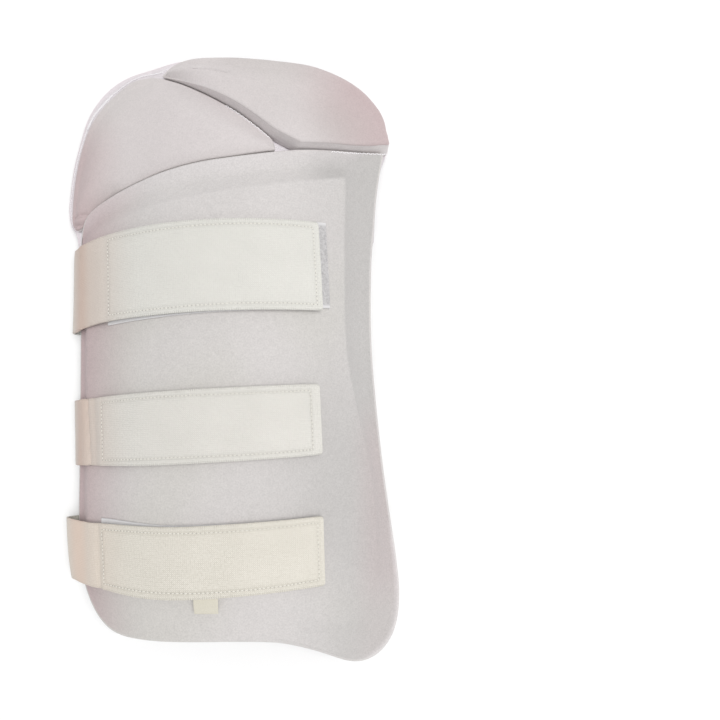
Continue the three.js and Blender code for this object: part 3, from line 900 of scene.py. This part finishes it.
def makeHipPad(name, size):
    rim = alongLine(roundedLine(size["rim"]), size["points"])
    spine = roundedPath(plan(size["spine"]))
    away, hearts = nearestOn(rim, spine, closed=False)
    rim = rim + (hearts - rim) * (hipShape["gap"] / away)[:, None]
    wall, lean, top, reach = hipProfile(rim, away, size)
    edge = lean + reach
    pull = rimPull(rim + (hearts - rim) * (edge / away)[:, None], rim)
    top = np.maximum(pull @ top / pull.sum(axis=1), wall + 0.3)
    foot = hipShape["foot"]
    under = fieldRings("rim", foot, 0, 6)[::-1]
    side = footArc(foot, 0, 3)
    side += [("rim", 0, lean * share, foot + (wall - foot) * share) for share in (0.25, 0.5, 0.75, 1)]
    shoulder = edgeArc(lean, reach, wall, top, 10)[1:]
    field = []
    for share in np.linspace(0, 1, 19)[1:]:
        climbed = smooth(share * (away - edge) / size["climb"] + 0.5) * 2 - 1
        height = top + (size["height"] - top) * np.maximum(climbed, 0)
        field.append(("rim", share * lastRing, edge * (1 - share), height))
    mesh = ringedShell(rim, spine, under + side + shoulder + field)
    topFrom = len(under) + len(side)
    crownPad(mesh, topFrom + len(shoulder), lambda flat: crownHeights(flat, rim, top, edge, size))
    thing = meshObject(name, mesh, [hipFace, liningFace])
    spots = coordinates(thing.data)
    levels = numbersOf(thing.data, "level")
    flat = spots[:, :2]
    wavy = marksRelief(flat, size["marks"]) + hipShape["waviness"] * waves(spots * mm, 0.045, 2)
    spots[:, 2] += smooth((levels - topFrom) / 6) * wavy
    setCoordinates(thing.data, spots)
    onFace = levels >= topFrom
    # blush lines: the cloth's pink and painted shade; shade lines: painted shade; the walls: painted light
    setShare(thing.data, "tint", nearShare(flat, size["blushAndShadeLines"]) * onFace)
    setShare(thing.data, "paintedShade", nearShare(flat, size["paintedShades"]) * onFace)
    setShare(thing.data, "paintedLight", size["paintedWallLight"] * (levels > len(under)) * (1 - onFace))
    onPattern(thing, len(under))
    return thing


hipBacking = {
    "thickness": 2.5,
    "gap": 0.5,
    "points": 560,
    "spine": [(-0.62, 0.64), (0.6, 0.68)],
    # painted shadow on the strip beside the thigh pad, under the pad's edge, and painted shade along the
    # overlocked strip
    "shadowBesidePad": [(1, [("right", 105, 10), ("up", 156, 8, 1)])],
    "blush": [(0.8, [("rim", 0, 1.6, 1)])],
    "paintedShades": [
        {"line": [(-1.01, 0.475), (-1.024, 0.54), (-0.98, 0.69), (-0.905, 0.82)], "reach": 4, "share": 0.5},
        {"line": [(-0.905, 0.815), (-0.8, 0.895), (-0.64, 0.957), (-0.4, 0.978)], "reach": 5, "share": 0.6},
    ],
    "rim": [
        (1.003, 0.738, 0.7), (0.992, 0.79), (0.953, 0.853), (0.887, 0.904), (0.79, 0.949),
        (0.68, 0.979), (0.55, 0.999), (0.44, 1.006), (0.22, 0.997), (0.0, 0.996), (-0.15, 1.003),
        (-0.25, 1.008), (-0.34, 1.007), (-0.41, 1.002), (-0.5, 0.996), (-0.6, 0.991),
        (-0.72, 0.969), (-0.83, 0.922), (-0.915, 0.855), (-0.955, 0.78), (-1.005, 0.69),
        (-1.034, 0.58), (-1.046, 0.52), (-1.033, 0.472), (-0.985, 0.44), (-0.982, 0.39),
        (-0.96, 0.35, 0.6), (-0.5, 0.38), (0, 0.4), (0.5, 0.4), (0.945, 0.404, 0.2), (0.946, 0.5),
        (0.952, 0.58), (0.966, 0.67, 0.7), (0.99, 0.708, 0.7),
    ],
}


def makeHipBacking():
    size = hipBacking
    rim = alongLine(roundedLine(size["rim"]), size["points"])
    top = -size["gap"]
    half = size["thickness"] / 2
    under = fieldRings("rim", half, top - 2 * half, 12)[::-1]
    side = footArc(half, top - 2 * half, 4) + edgeArc(0, half, top - half, top, 4)[1:]
    rings = under + side + fieldRings("rim", half, top, 12)
    thing = meshObject("hipBacking", ringedShell(rim, plan(size["spine"]), rings), [backingFace, liningFace])
    flat = coordinates(thing.data)[:, :2]
    levels = numbersOf(thing.data, "level")
    sides = {**sidesOf(flat), "rim": nearestOn(flat, rim)[0]}
    # painted shadow beside the pad replaces the rim's pink there; painted shade lies along the overlocked
    # strip
    shadowBesidePad = inZones(sides, size["shadowBesidePad"])
    blush = inZones(sides, size["blush"]) * (1 - shadowBesidePad)
    setShare(thing.data, "tint", blush * (levels >= len(under) + 2))
    paintedShade = nearShare(flat, size["paintedShades"]) * (levels >= len(under) + 4)
    setShare(thing.data, "paintedShade", np.maximum(paintedShade, shadowBesidePad))
    onPattern(thing, len(under))
    return thing


print("pads")
thighPiece = makeThighPad()
lowerHipPiece = makeHipPad("lowerHipPad", hipPads["lower"])
upperHipPiece = makeHipPad("upperHipPad", hipPads["upper"])
backingPiece = makeHipBacking()


# Straps

# Elastic: bunched brings its lanes closer together near the edges, and doubled is how much higher it lies
# where it is sewn. Ripples are their height, and how much is added at the edges. widens is the share of the
# front over which the fold's width becomes the strap's, and eased the stations round the front's start
# that are evened, as often as easing says.
elastic = {
    "thickness": 1.8,
    "lanes": 37,
    "bunched": 0.65,
    "corner": 2.5,
    "doubled": 0.3,
    "rippleSize": 0.012,
    "ripples": (0.15, 0.25),
    "widens": 0.42,
    "eased": (20, 12),
    "easing": 16,
}
fastening = {"loop": 1.5, "hook": 1.2, "margin": 1.5, "hookLength": 60, "gap": 0.3, "selvedge": 2.6}
sewnTab = {"length": 16, "inset": 5, "rise": 26, "gap": 0.3}
# The fold round the left edge: how clear of the pad it is, where it leaves the surface, and its bulge as
# (share of the slack outwards, share of the edge's height)
fold = {"clear": 0.45, "leaves": (16, 7), "bulge": [(0.7, 0.4), (1, 0.9)], "over": 0.8}
# seam is how far the stitched part starts from the fold's front end, and slant how far its upper end is
# ahead of its lower one. Creases are (place from the seam, height, half width, slant). The share before
# turned is painted shade, warmer in hue, on the turned part, and turned the colour it goes towards. peek
# and offset move the loop patch's near and far end sideways.
straps = {
    "top": {
        "width": 63.5,
        "fold": 0.228,
        "foldWidth": 62.5,
        "slack": (4.8, 3.4),
        "centre": [
            (-0.815, 0.233), (-0.62, 0.2455), (-0.28, 0.257), (-0.05, 0.265), (0.22, 0.2735), (0.515, 0.2835),
        ],
        "patch": (0.17, 1.045),
        "seam": 33.2,
        "slant": -2.5,
        "sewnEnd": 4.8,
        "turnShade": 0.62,
        "turned": (0.56, 0.425, 0.355),
        "creases": [(-4, -0.3, 4, 0), (0, 0.4, 1.1, 0)],
        "peek": -2.4,
        "offset": 1.6,
        "light": (0.75, 0.74, 0.695),
        "dark": (0.595, 0.585, 0.545),
    },
    "middle": {
        "width": 49.4,
        "fold": -0.2515,
        "foldWidth": 47.6,
        "slack": (1.6, 2.8),
        "centre": [(-0.78, -0.2495), (-0.4, -0.2415), (0.02, -0.2265), (0.522, -0.207)],
        "patch": (0.2, 0.98),
        "seam": 27,
        "slant": -3.5,
        "sewnEnd": 7.6,
        "turnShade": 0.62,
        "turned": (0.56, 0.425, 0.355),
        "creases": [(-22.5, 1, 3.4, -3), (-17.5, -1.5, 1.2, -3.4), (-10.5, -1.1, 4, -1), (-1.5, 0.8, 1.5, 0)],
        "peek": 0,
        "offset": 0,
        "light": (0.765, 0.745, 0.7),
        "dark": (0.565, 0.55, 0.51),
    },
    "bottom": {
        "width": 47,
        "fold": -0.629,
        "foldWidth": 42.5,
        "slack": (7.5, 7.8),
        "centre": [
            (-0.74, -0.633), (-0.52, -0.633), (-0.2, -0.638), (0.12, -0.6275), (0.3, -0.622), (0.552, -0.615),
        ],
        "patch": (0.12, 0.98),
        "seam": 27.5,
        "slant": -5,
        "sewnEnd": 4.6,
        "turnShade": 0.5,
        "turned": (0.68, 0.53, 0.44),
        "creases": [(-14, 0.7, 5, -2), (-5, -1, 2.4, 1), (-0.5, 0.7, 1.3, 0)],
        "peek": 2.2,
        "offset": 0,
        "light": (0.775, 0.74, 0.67),
        "dark": (0.57, 0.54, 0.47),
    },
}
loopBase = blockTop + fastening["gap"]
hookBase = loopBase + fastening["loop"] + fastening["gap"]
strapBase = hookBase + fastening["hook"] + fastening["gap"]


def edgeAt(line, y, side):  # where a closed line crosses y, on the left (-1) or right (1)
    ends = np.roll(line, -1, axis=0)
    crossed = (line[:, 1] - y) * (ends[:, 1] - y) <= 0
    starts, stops = line[crossed], ends[crossed]
    share = (y - starts[:, 1]) / (stops[:, 1] - starts[:, 1])
    return side * (side * (starts[:, 0] + (stops[:, 0] - starts[:, 0]) * share)).max()


def layerGrid(centre, width, shares, lanes, heights, shift=0):
    # Points of a layer over the pad: along its centre line, past 1 straight on from the end
    line = catmullRom(plan(centre), 400)
    length = np.linalg.norm(np.diff(line, axis=0), axis=1).sum()
    places = np.linspace(0, 1, len(line))
    runs = np.gradient(line, axis=0)
    runs /= np.linalg.norm(runs, axis=1)[:, None]
    inside = np.clip(shares, 0, 1)
    spots = np.stack([np.interp(inside, places, line[:, axis]) for axis in (0, 1)], axis=1)
    run = np.stack([np.interp(inside, places, runs[:, axis]) for axis in (0, 1)], axis=1)
    spots = spots + run * ((shares - inside) * length)[:, None]
    width = np.reshape(width, (-1, 1))
    turned = smooth((inside * length)[:, None] / width)
    across = spots[:, :1] - run[:, 1:] * turned * width * lanes[None]
    along = spots[:, 1:] + run[:, :1] * width * lanes[None] + np.reshape(shift, (-1, 1))
    return onArch(across, along, np.reshape(heights, (-1, 1)))


def foldLane(y, frontStart, slack):  # from the tab inside the right flank to the fold on the left
    half = elastic["thickness"] / 2 * mm
    right = edgeAt(thighLine, y, 1) - sewnTab["inset"]
    left = edgeAt(thighLine, y, -1)
    depth = -sewnTab["gap"] - elastic["thickness"] / 2
    sewn = onArch(right - np.array([0, 0.5, 1]) * sewnTab["length"], y, depth)
    lift = (sewn[2] - sewn[1]) / np.linalg.norm(sewn[2] - sewn[1])
    rise = sewnTab["rise"] * mm
    landing = np.array([sewn[2][0] - rise, sewn[2][1], half])
    steps = np.linspace(0, 1, 14)[1:, None]
    drop = hermite(steps, sewn[2], 0.6 * rise * lift, landing, np.array([-1.8 * rise, 0, 0]))
    bend = thighPad["edgeRound"]
    edge = onArch(left + bend * 0.25, y, thighPad["thickness"] - bend * 0.35)
    clear = thighPad["thickness"] + fold["clear"] + elastic["thickness"] / 2
    over = onArch(left + bend + slack * fold["over"], y, clear + slack)
    off = fold["clear"] * mm + half
    bulge = [
        (edge[0] - off - slack * mm * out, edge[1], half + (edge[2] - half) * up) for out, up in fold["bulge"]
    ]
    leaving = [(edge[0] + place * mm, edge[1], half) for place in fold["leaves"]]
    turn = catmullRom([*leaving, *bulge, over, frontStart], 46)
    run = np.linspace(landing, turn[0], 50)[1:-1]
    path = np.vstack([sewn, drop, run, turn[:-1]])
    path[:, 2] = np.maximum(path[:, 2], half)
    return path


def bandObject(name, grid, thickness, cloth, travel, lanes, width):
    # A grid of stations and lanes turned into a band, with a map in metres along and across it
    stations, count = grid.shape[:2]
    mesh = bmesh.new()
    bmesh.ops.create_grid(mesh, x_segments=stations - 1, y_segments=count - 1, size=1)
    flat = mesh.loops.layers.uv.new("band")
    for vert in mesh.verts:
        station = round((vert.co.x + 1) / 2 * (stations - 1))
        lane = round((vert.co.y + 1) / 2 * (count - 1))
        for corner in vert.link_loops:
            corner[flat].uv = (travel[station], lanes[lane] * width * mm)
        vert.co = grid[station, lane]
    thing = meshObject(name, mesh, [cloth])
    solid = thing.modifiers.new("thickness", "SOLIDIFY")
    solid.thickness = thickness * mm
    solid.offset = 0
    edges = thing.modifiers.new("softEdges", "BEVEL")
    edges.width = thickness * 0.3 * mm
    edges.segments = 2
    edges.limit_method = "ANGLE"
    edges.angle_limit = math.radians(60)
    width * mm
    return thing


def gridOrder(data, stations, lanes):  # index of each vertex in the grid that its spots came from
    return np.arange(len(data.vertices)) % stations * lanes + np.arange(len(data.vertices)) // stations


def gridNormals(grid):
    along = np.gradient(grid, axis=0)
    across = np.gradient(grid, axis=1)
    normals = np.cross(along, across)
    return normals / np.linalg.norm(normals, axis=2)[..., None]


def travelOf(grid):
    middle = grid[:, grid.shape[1] // 2]
    return np.concatenate([[0], np.cumsum(np.linalg.norm(np.diff(middle, axis=0), axis=1))])


def roundEnd(grid, lanes, width, corner):  # takes the corners off a layer's far end
    travel = travelOf(grid)
    depth = corner - np.minimum((0.5 - np.abs(lanes)) * width, corner)
    pull = (corner - np.sqrt(corner**2 - depth**2)) * mm
    rounded = grid.copy()
    for lane, short in enumerate(pull):
        goals = travel - short * smooth((travel - travel[-1]) / (12 * mm) + 1)
        for axis in range(3):
            rounded[:, lane, axis] = np.interp(goals, travel, grid[:, lane, axis])
    return rounded


def strapGrid(size):
    even = np.linspace(-1, 1, elastic["lanes"])
    bunched = elastic["bunched"]
    lanes = 0.5 * ((1 - bunched) * even + bunched * np.sin(even * math.pi / 2))
    shares = np.linspace(0, 1, 90)
    low = blockTop + 2 * fastening["gap"]
    heights = low + (strapBase - low) * beyond(shares, 0, size["patch"][0]) + elastic["thickness"] / 2
    narrowed = 1 - beyond(shares, 0, elastic["widens"])
    widths = size["width"] + (size["foldWidth"] - size["width"]) * narrowed
    front = layerGrid(size["centre"], widths, shares, lanes, heights)
    hidden = []
    for lane, start in zip(lanes, front[0]):
        slack = size["slack"][0] + (size["slack"][1] - size["slack"][0]) * (lane + 0.5)
        hidden.append(foldLane(size["fold"] * halfLength + size["foldWidth"] * lane, start, slack))
    grid = np.concatenate([np.swapaxes(np.array(hidden), 0, 1), front])
    frontFrom = len(hidden[0])
    first, last = frontFrom - elastic["eased"][0], frontFrom + elastic["eased"][1]
    for step in range(elastic["easing"]):
        beside = grid[first - 1 : last - 1] + grid[first + 1 : last + 1]
        grid[first:last] = (beside + 2 * grid[first:last]) / 4
    return grid, lanes, frontFrom


def creaseHeights(size, along, lanes):  # along counts from the seam
    return sum(
        height * np.exp(-(((along - place - slant * lanes[None]) / width) ** 2))
        for place, height, width, slant in size["creases"]
    )


def makeStrap(name, size):
    grid, lanes, frontFrom = strapGrid(size)
    travel = travelOf(grid)
    along = (travel[:, None] - travel[frontFrom]) / mm - size["seam"] - size["slant"] * lanes[None]
    lift = elastic["doubled"] * beyond(along, 0, 1.5) + creaseHeights(size, along, lanes)
    ripple = waves(grid.reshape(-1, 3), elastic["rippleSize"], 3).reshape(lift.shape)
    calm, free = elastic["ripples"]
    lift += ripple * (calm + free * smooth(np.abs(lanes[None]) * 2.4 - 1))
    grid = grid + gridNormals(grid) * lift[..., None] * mm
    grid = roundEnd(grid, lanes, size["width"], elastic["corner"])
    look = {
        "halfWidth": size["width"] / 2 * mm,
        "light": size["light"],
        "dark": size["dark"],
        "tint": size["turned"],
    }
    cloth = elasticCloth(f"elastic{name.title()}", look)
    thickness, width = elastic["thickness"], size["width"]
    thing = bandObject(f"strap{name.title()}", grid, thickness, cloth, travel, lanes, width)
    return thing, grid, travel, frontFrom, lanes


def makeLoopPatch(name, size):
    lanes = np.linspace(-0.5, 0.5, 41)
    width = size["width"] - fastening["margin"]
    shares = np.linspace(*size["patch"], 150)
    shift = size["peek"] * (1 - beyond(shares, shares[0], 0.75)) + size["offset"] * beyond(shares, 0.75, 0.25)
    grid = layerGrid(size["centre"], width, shares, lanes, loopBase + fastening["loop"] / 2, shift)
    travel = travelOf(grid)
    thing = bandObject(f"loopPatch{name.title()}", grid, fastening["loop"], loopFace, travel, lanes, width)
    inside = np.minimum(travel[:, None] / mm, (0.5 - np.abs(lanes))[None] * width)
    bare = 1 - beyond(inside, fastening["selvedge"] - 0.5, 1)
    setShare(thing.data, "selvedge", bare.ravel()[gridOrder(thing.data, *grid.shape[:2])])
    return thing


def makeHookPatch(name, size):
    lanes = np.linspace(-0.5, 0.5, 9)
    width = size["width"] - 2 * fastening["margin"]
    line = catmullRom(plan(size["centre"]), 400)
    length = np.linalg.norm(np.diff(line, axis=0), axis=1).sum()
    start = 1 - (fastening["hookLength"] + fastening["margin"]) / length
    shares = np.linspace(start, 1 - fastening["margin"] / length, 20)
    grid = layerGrid(size["centre"], width, shares, lanes, hookBase + fastening["hook"] / 2)
    thickness, travel = fastening["hook"], travelOf(grid)
    return bandObject(f"hookPatch{name.title()}", grid, thickness, hookFace, travel, lanes, width)


print("straps")
strapPieces = {name: makeStrap(name, size) for name, size in straps.items()}
loopPieces = {name: makeLoopPatch(name, size) for name, size in straps.items()}
hookPieces = {name: makeHookPatch(name, size) for name, size in straps.items()}


# Size label, left bare

sizeLabel = {"width": 14, "length": 13.2, "thickness": 0.8, "droop": 3.5, "across": 0.0}


def makeLabel():
    size = sizeLabel
    lanes = np.linspace(-0.5, 0.5, 15)
    top = straps["bottom"]["centre"][3][1] * halfLength - straps["bottom"]["width"] / 2 + fastening["margin"]
    shares = np.linspace(0, 1, 15)
    across = size["across"] * halfGirth + lanes[None] * size["width"]
    along = (top - shares * size["length"])[:, None]
    height = strapBase - fastening["gap"] - size["thickness"] / 2 - size["droop"] * shares**2
    grid = onArch(across, along, height[:, None])
    travel = travelOf(grid)
    return bandObject("sizeLabel", grid, size["thickness"], labelFace, travel, lanes, size["width"])


labelPiece = makeLabel()


# Stitches


def stitchObject(name, rows, materials):
    # Each row is a set of short capsules, from its starts to its ends and across the surface, in one material
    ball = bmesh.new()
    bmesh.ops.create_uvsphere(ball, u_segments=6, v_segments=5, radius=1)
    ball.verts.index_update()
    corners = np.array([vertex.co for vertex in ball.verts])
    sides = [[vertex.index for vertex in face.verts] for face in ball.faces]
    ball.free()
    spots, faces, slots = [], [], []
    for slot, thread, length, starts, ends, ups in rows:
        across = np.cross(ups, ends - starts)
        across *= thread * mm / np.linalg.norm(across, axis=1)[:, None]
        up = ups * 0.7 * thread * mm / np.linalg.norm(ups, axis=1)[:, None]
        turns = np.stack([(ends - starts) * length / 2, across, up], axis=1)
        for middle, turn in zip((starts + ends) / 2, turns):
            faces += [[index + len(spots) for index in side] for side in sides]
            slots += [slot] * len(sides)
            spots += list(middle + corners @ turn)
    data = bpy.data.meshes.new("stitches")
    data.from_pydata(spots, [], faces)
    data.polygons.foreach_set("material_index", slots)
    mesh = bmesh.new()
    mesh.from_mesh(data)
    bpy.data.meshes.remove(data)
    return meshObject(name, mesh, materials)


def onBand(grid, normals, travel, lanes, where, lift):  # spots at (metres along, share across)
    stations = np.interp(where[:, 0], travel, np.arange(len(travel)))
    places = np.interp(where[:, 1], lanes, np.arange(len(lanes)))
    row = np.clip(stations.astype(int), 0, len(travel) - 2)
    column = np.clip(places.astype(int), 0, len(lanes) - 2)
    a, b = (stations - row)[:, None], (places - column)[:, None]

    def sample(field):
        low = field[row, column] * (1 - b) + field[row, column + 1] * b
        high = field[row + 1, column] * (1 - b) + field[row + 1, column + 1] * b
        return low * (1 - a) + high * a

    ups = sample(normals)
    return sample(grid) + ups * lift * mm, ups


# Strap stitches: inset of the row, its wander and waviness, thread and hole radius, and the shares of a pitch
# that a stitch and the reach of a hole take
sewing = {
    "inset": 4.3,
    "pitch": 2.8,
    "thread": 0.33,
    "hole": 0.3,
    "wander": 0.15,
    "wave": (0.4, 23),
    "stitch": 0.7,
    "reach": 0.14,
}


def strapStitches(name, size):
    thing, grid, travel, frontFrom, lanes = strapPieces[name]
    start = travel[frontFrom] / mm + size["seam"]
    end = travel[-1] / mm - size["sewnEnd"]
    half = size["width"] / 2 - sewing["inset"]
    lean = size["slant"] * half / size["width"]
    box = [(start - lean, -half), (end, -half), (end, half), (start + lean, half)]
    spots = alongLine(np.array(box), round(2 * (end - start + 2 * half) / sewing["pitch"]))
    random.seed(len(name))
    wander = sewing["wander"]
    spots += np.array([[random.uniform(-wander, wander) for axis in (0, 1)] for spot in spots])
    height, length = sewing["wave"]
    spots[:, 1] += height * np.sin(spots[:, 0] / length + len(name))
    where = spots * [mm, 1 / size["width"]]
    placed, ups = onBand(grid, gridNormals(grid), travel, lanes, where, elastic["thickness"] / 2 + 0.08)
    following = np.roll(placed, -1, axis=0)
    reach = (following - placed) * sewing["reach"]
    rows = [
        (0, sewing["thread"], sewing["stitch"], placed, following, ups),
        # a dark capsule at each needle hole: painted shade in the hole
        (1, sewing["hole"], 1, placed - reach, placed + reach, ups),
    ]
    return stitchObject(f"stitches{name.title()}", rows, [strapThread, needleHoleShade])


# Rows of stitches on the hip pads: the line on the pattern, its height, stitch pitch and zigzag width
hipSewing = {
    "thread": 0.38,
    "overlap": 1.05,
    "wander": 0.12,
    "rows": [
        {
            "line": [(0.03, 0.817), (0.1, 0.789), (0.194, 0.747), (0.272, 0.71)],
            "height": 5.5,
            "pitch": 1.6,
            "zigzag": 1,
        },
        {
            "line": [(0.3, 0.695), (0.345, 0.69), (0.39, 0.683)],
            "height": -0.2,
            "pitch": 1.6,
            "zigzag": 1,
        },
        {
            "line": [(0.62, 0.694), (0.74, 0.7), (0.86, 0.708), (0.975, 0.716)],
            "height": 8.2,
            "pitch": 1.7,
            "zigzag": 1.2,
        },
        {
            "line": [
                (-1.01, 0.475), (-1.024, 0.54), (-1.006, 0.62), (-0.98, 0.69), (-0.935, 0.77), (-0.905, 0.82),
            ],
            "height": -0.3,
            "pitch": 1.6,
            "zigzag": 0.9,
        },
        {
            "line": [(-0.905, 0.815), (-0.86, 0.862), (-0.8, 0.895), (-0.73, 0.928)],
            "height": -0.2,
            "pitch": 0.7,
            "zigzag": 2.4,
        },
        {
            "line": [(-0.73, 0.928), (-0.64, 0.957), (-0.55, 0.976), (-0.4, 0.978), (-0.35, 0.985)],
            "height": -0.2,
            "pitch": 1.1,
            "zigzag": 1.3,
        },
    ],
}


def hipStitches():
    random.seed(7)
    wander = hipSewing["wander"]
    rows = []
    for row in hipSewing["rows"]:
        line = roundedPath(plan(row["line"]))
        length = np.linalg.norm(np.diff(line, axis=0), axis=1).sum()
        spots = alongLine(line, round(length / row["pitch"]), closed=False)
        run = np.gradient(spots, axis=0)
        side = np.stack([-run[:, 1], run[:, 0]], axis=1) / np.linalg.norm(run, axis=1)[:, None]
        swing = row["zigzag"] * np.where(np.arange(len(spots)) % 2, 0.5, -0.5)
        swing += np.array([random.uniform(-wander, wander) for spot in spots])
        spots += side * swing[:, None]
        low = onArch(spots[:, 0], spots[:, 1], row["height"])
        ups = (onArch(spots[:, 0], spots[:, 1], row["height"] + 1) - low) / mm
        rows.append((0, hipSewing["thread"], hipSewing["overlap"], low[:-1], low[1:], ups[:-1]))
    return stitchObject("stitchesHip", rows, [hipThread])


print("stitches")
hipStitchPiece = hipStitches()
stitchPieces = {name: strapStitches(name, size) for name, size in straps.items()}


# The straps' marks: painted shade near the stitching and in the valleys of the creases, and how much
# painted shade, warmer in hue, the turn takes. The places of the turn count from the seam, or from the
# fold's front end.
strapMarks = {"sunk": 1.1, "valleyShade": 0.6, "turn": (-30, 62), "edge": (0.3, 12), "behind": (-28, 26)}


def markStrap(name, size):
    thing, grid, travel, frontFrom, lanes = strapPieces[name]
    along, across = np.meshgrid(travel / mm, lanes * size["width"], indexing="ij")
    start = travel[frontFrom] / mm + size["seam"] + size["slant"] * lanes[None]
    end = travel[-1] / mm - size["sewnEnd"]
    half = size["width"] / 2 - sewing["inset"]
    rows = np.abs(np.abs(across) - half) + np.maximum(start - along, 0) + np.maximum(along - end, 0)
    ends = np.minimum(np.abs(along - start), np.abs(along - end)) + np.maximum(np.abs(across) - half, 0)
    valleyShade = np.clip(-creaseHeights(size, along - start, lanes), 0, 1)
    # painted shade along the stitching and in the crease valleys
    sewn = np.exp(-((np.minimum(rows, ends) / strapMarks["sunk"]) ** 2)) + strapMarks["valleyShade"] * valleyShade
    fromFold = along - start + size["seam"]
    # painted shade, warmer in hue, on the turned part and near the fold's front end
    paintedTurnShade = size["turnShade"] * (1 - beyond(along - start, *strapMarks["turn"]))
    share, reach = strapMarks["edge"]
    paintedTurnShade += share * (1 - beyond(fromFold, 0, reach))
    paintedTurnShade *= beyond(fromFold, *strapMarks["behind"])
    order = gridOrder(thing.data, *grid.shape[:2])
    setShare(thing.data, "sewn", sewn.ravel()[order])
    setShare(thing.data, "tint", paintedTurnShade.ravel()[order])


for name, size in straps.items():
    markStrap(name, size)


# Camera, floor and light

view = {"spot": (0.1001, -0.0531, 0.5534), "tilt": 5.08, "lens": 36}
stage = {"floor": (0.93, 0.93, 0.93, 1), "lamp": 2.03, "softness": 37, "ray": (-0.4, 0, -1.3)}


def makeCamera():
    camera = bpy.data.cameras.new("camera")
    camera.lens = view["lens"]
    camera.sensor_width = 36
    camera.clip_start = 0.01
    thing = bpy.data.objects.new("camera", camera)
    thing.location = view["spot"]
    thing.rotation_euler = (math.radians(view["tilt"]), 0, 0)
    bpy.context.scene.collection.objects.link(thing)
    bpy.context.scene.camera = thing


def makeFloor():
    mesh = bmesh.new()
    bmesh.ops.create_grid(mesh, x_segments=2, y_segments=2, size=12)
    material, shader = newCloth("floor", 0.9, 0)[:2]
    shader.inputs["Base Color"].default_value = stage["floor"]
    floor = meshObject("floor", mesh, [material], smoothFaces=False)


def makeLight():
    world = bpy.data.worlds.new("studio")
    world.use_nodes = True
    background = world.node_tree.nodes["Background"]
    graph = Shade(world.node_tree)
    where = graph.node("ShaderNodeTexCoord", {}, {}, out=0)
    height = graph.node("ShaderNodeSeparateXYZ", {}, {"Vector": where}, out=2)
    light = 1 - height.between(0.13, 0.35) * 0.5  # white near the horizon, half as bright above
    background.inputs["Color"].default_value = (1, 1, 1, 1)
    world.node_tree.links.new(light.socket, background.inputs["Strength"])
    bpy.context.scene.world = world
    lamp = bpy.data.lights.new("softbox", "SUN")
    lamp.energy = stage["lamp"]
    lamp.angle = math.radians(stage["softness"])
    thing = bpy.data.objects.new("softbox", lamp)
    thing.rotation_euler = Vector(stage["ray"]).to_track_quat("-Z", "Y").to_euler()
    bpy.context.scene.collection.objects.link(thing)
    bpy.context.scene.view_settings.view_transform = "Standard"


print("stage")
makeCamera()
makeFloor()
makeLight()


# What each piece stands for

standsFor = [
    (thighPiece, "thigh_pad", "pad_cloth"),
    (backingPiece, "hip_backing", "backing_cloth"),
    (lowerHipPiece, "hip_panel_lower", "pad_cloth"),
    (upperHipPiece, "hip_panel_upper", "pad_cloth"),
    (labelPiece, "size_label", "label_tape"),
]
for name in straps:
    standsFor.append((strapPieces[name][0], f"strap_{name}", "elastic"))
    standsFor.append((loopPieces[name], f"loop_patch_{name}", "loop_pile"))
    standsFor.append((hookPieces[name], f"hook_patch_{name}", "hook_tape"))
for piece, node, slot in standsFor:
    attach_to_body(piece, "root")
    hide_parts(node)
for piece in (*stitchPieces.values(), hipStitchPiece):
    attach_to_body(piece, "root")
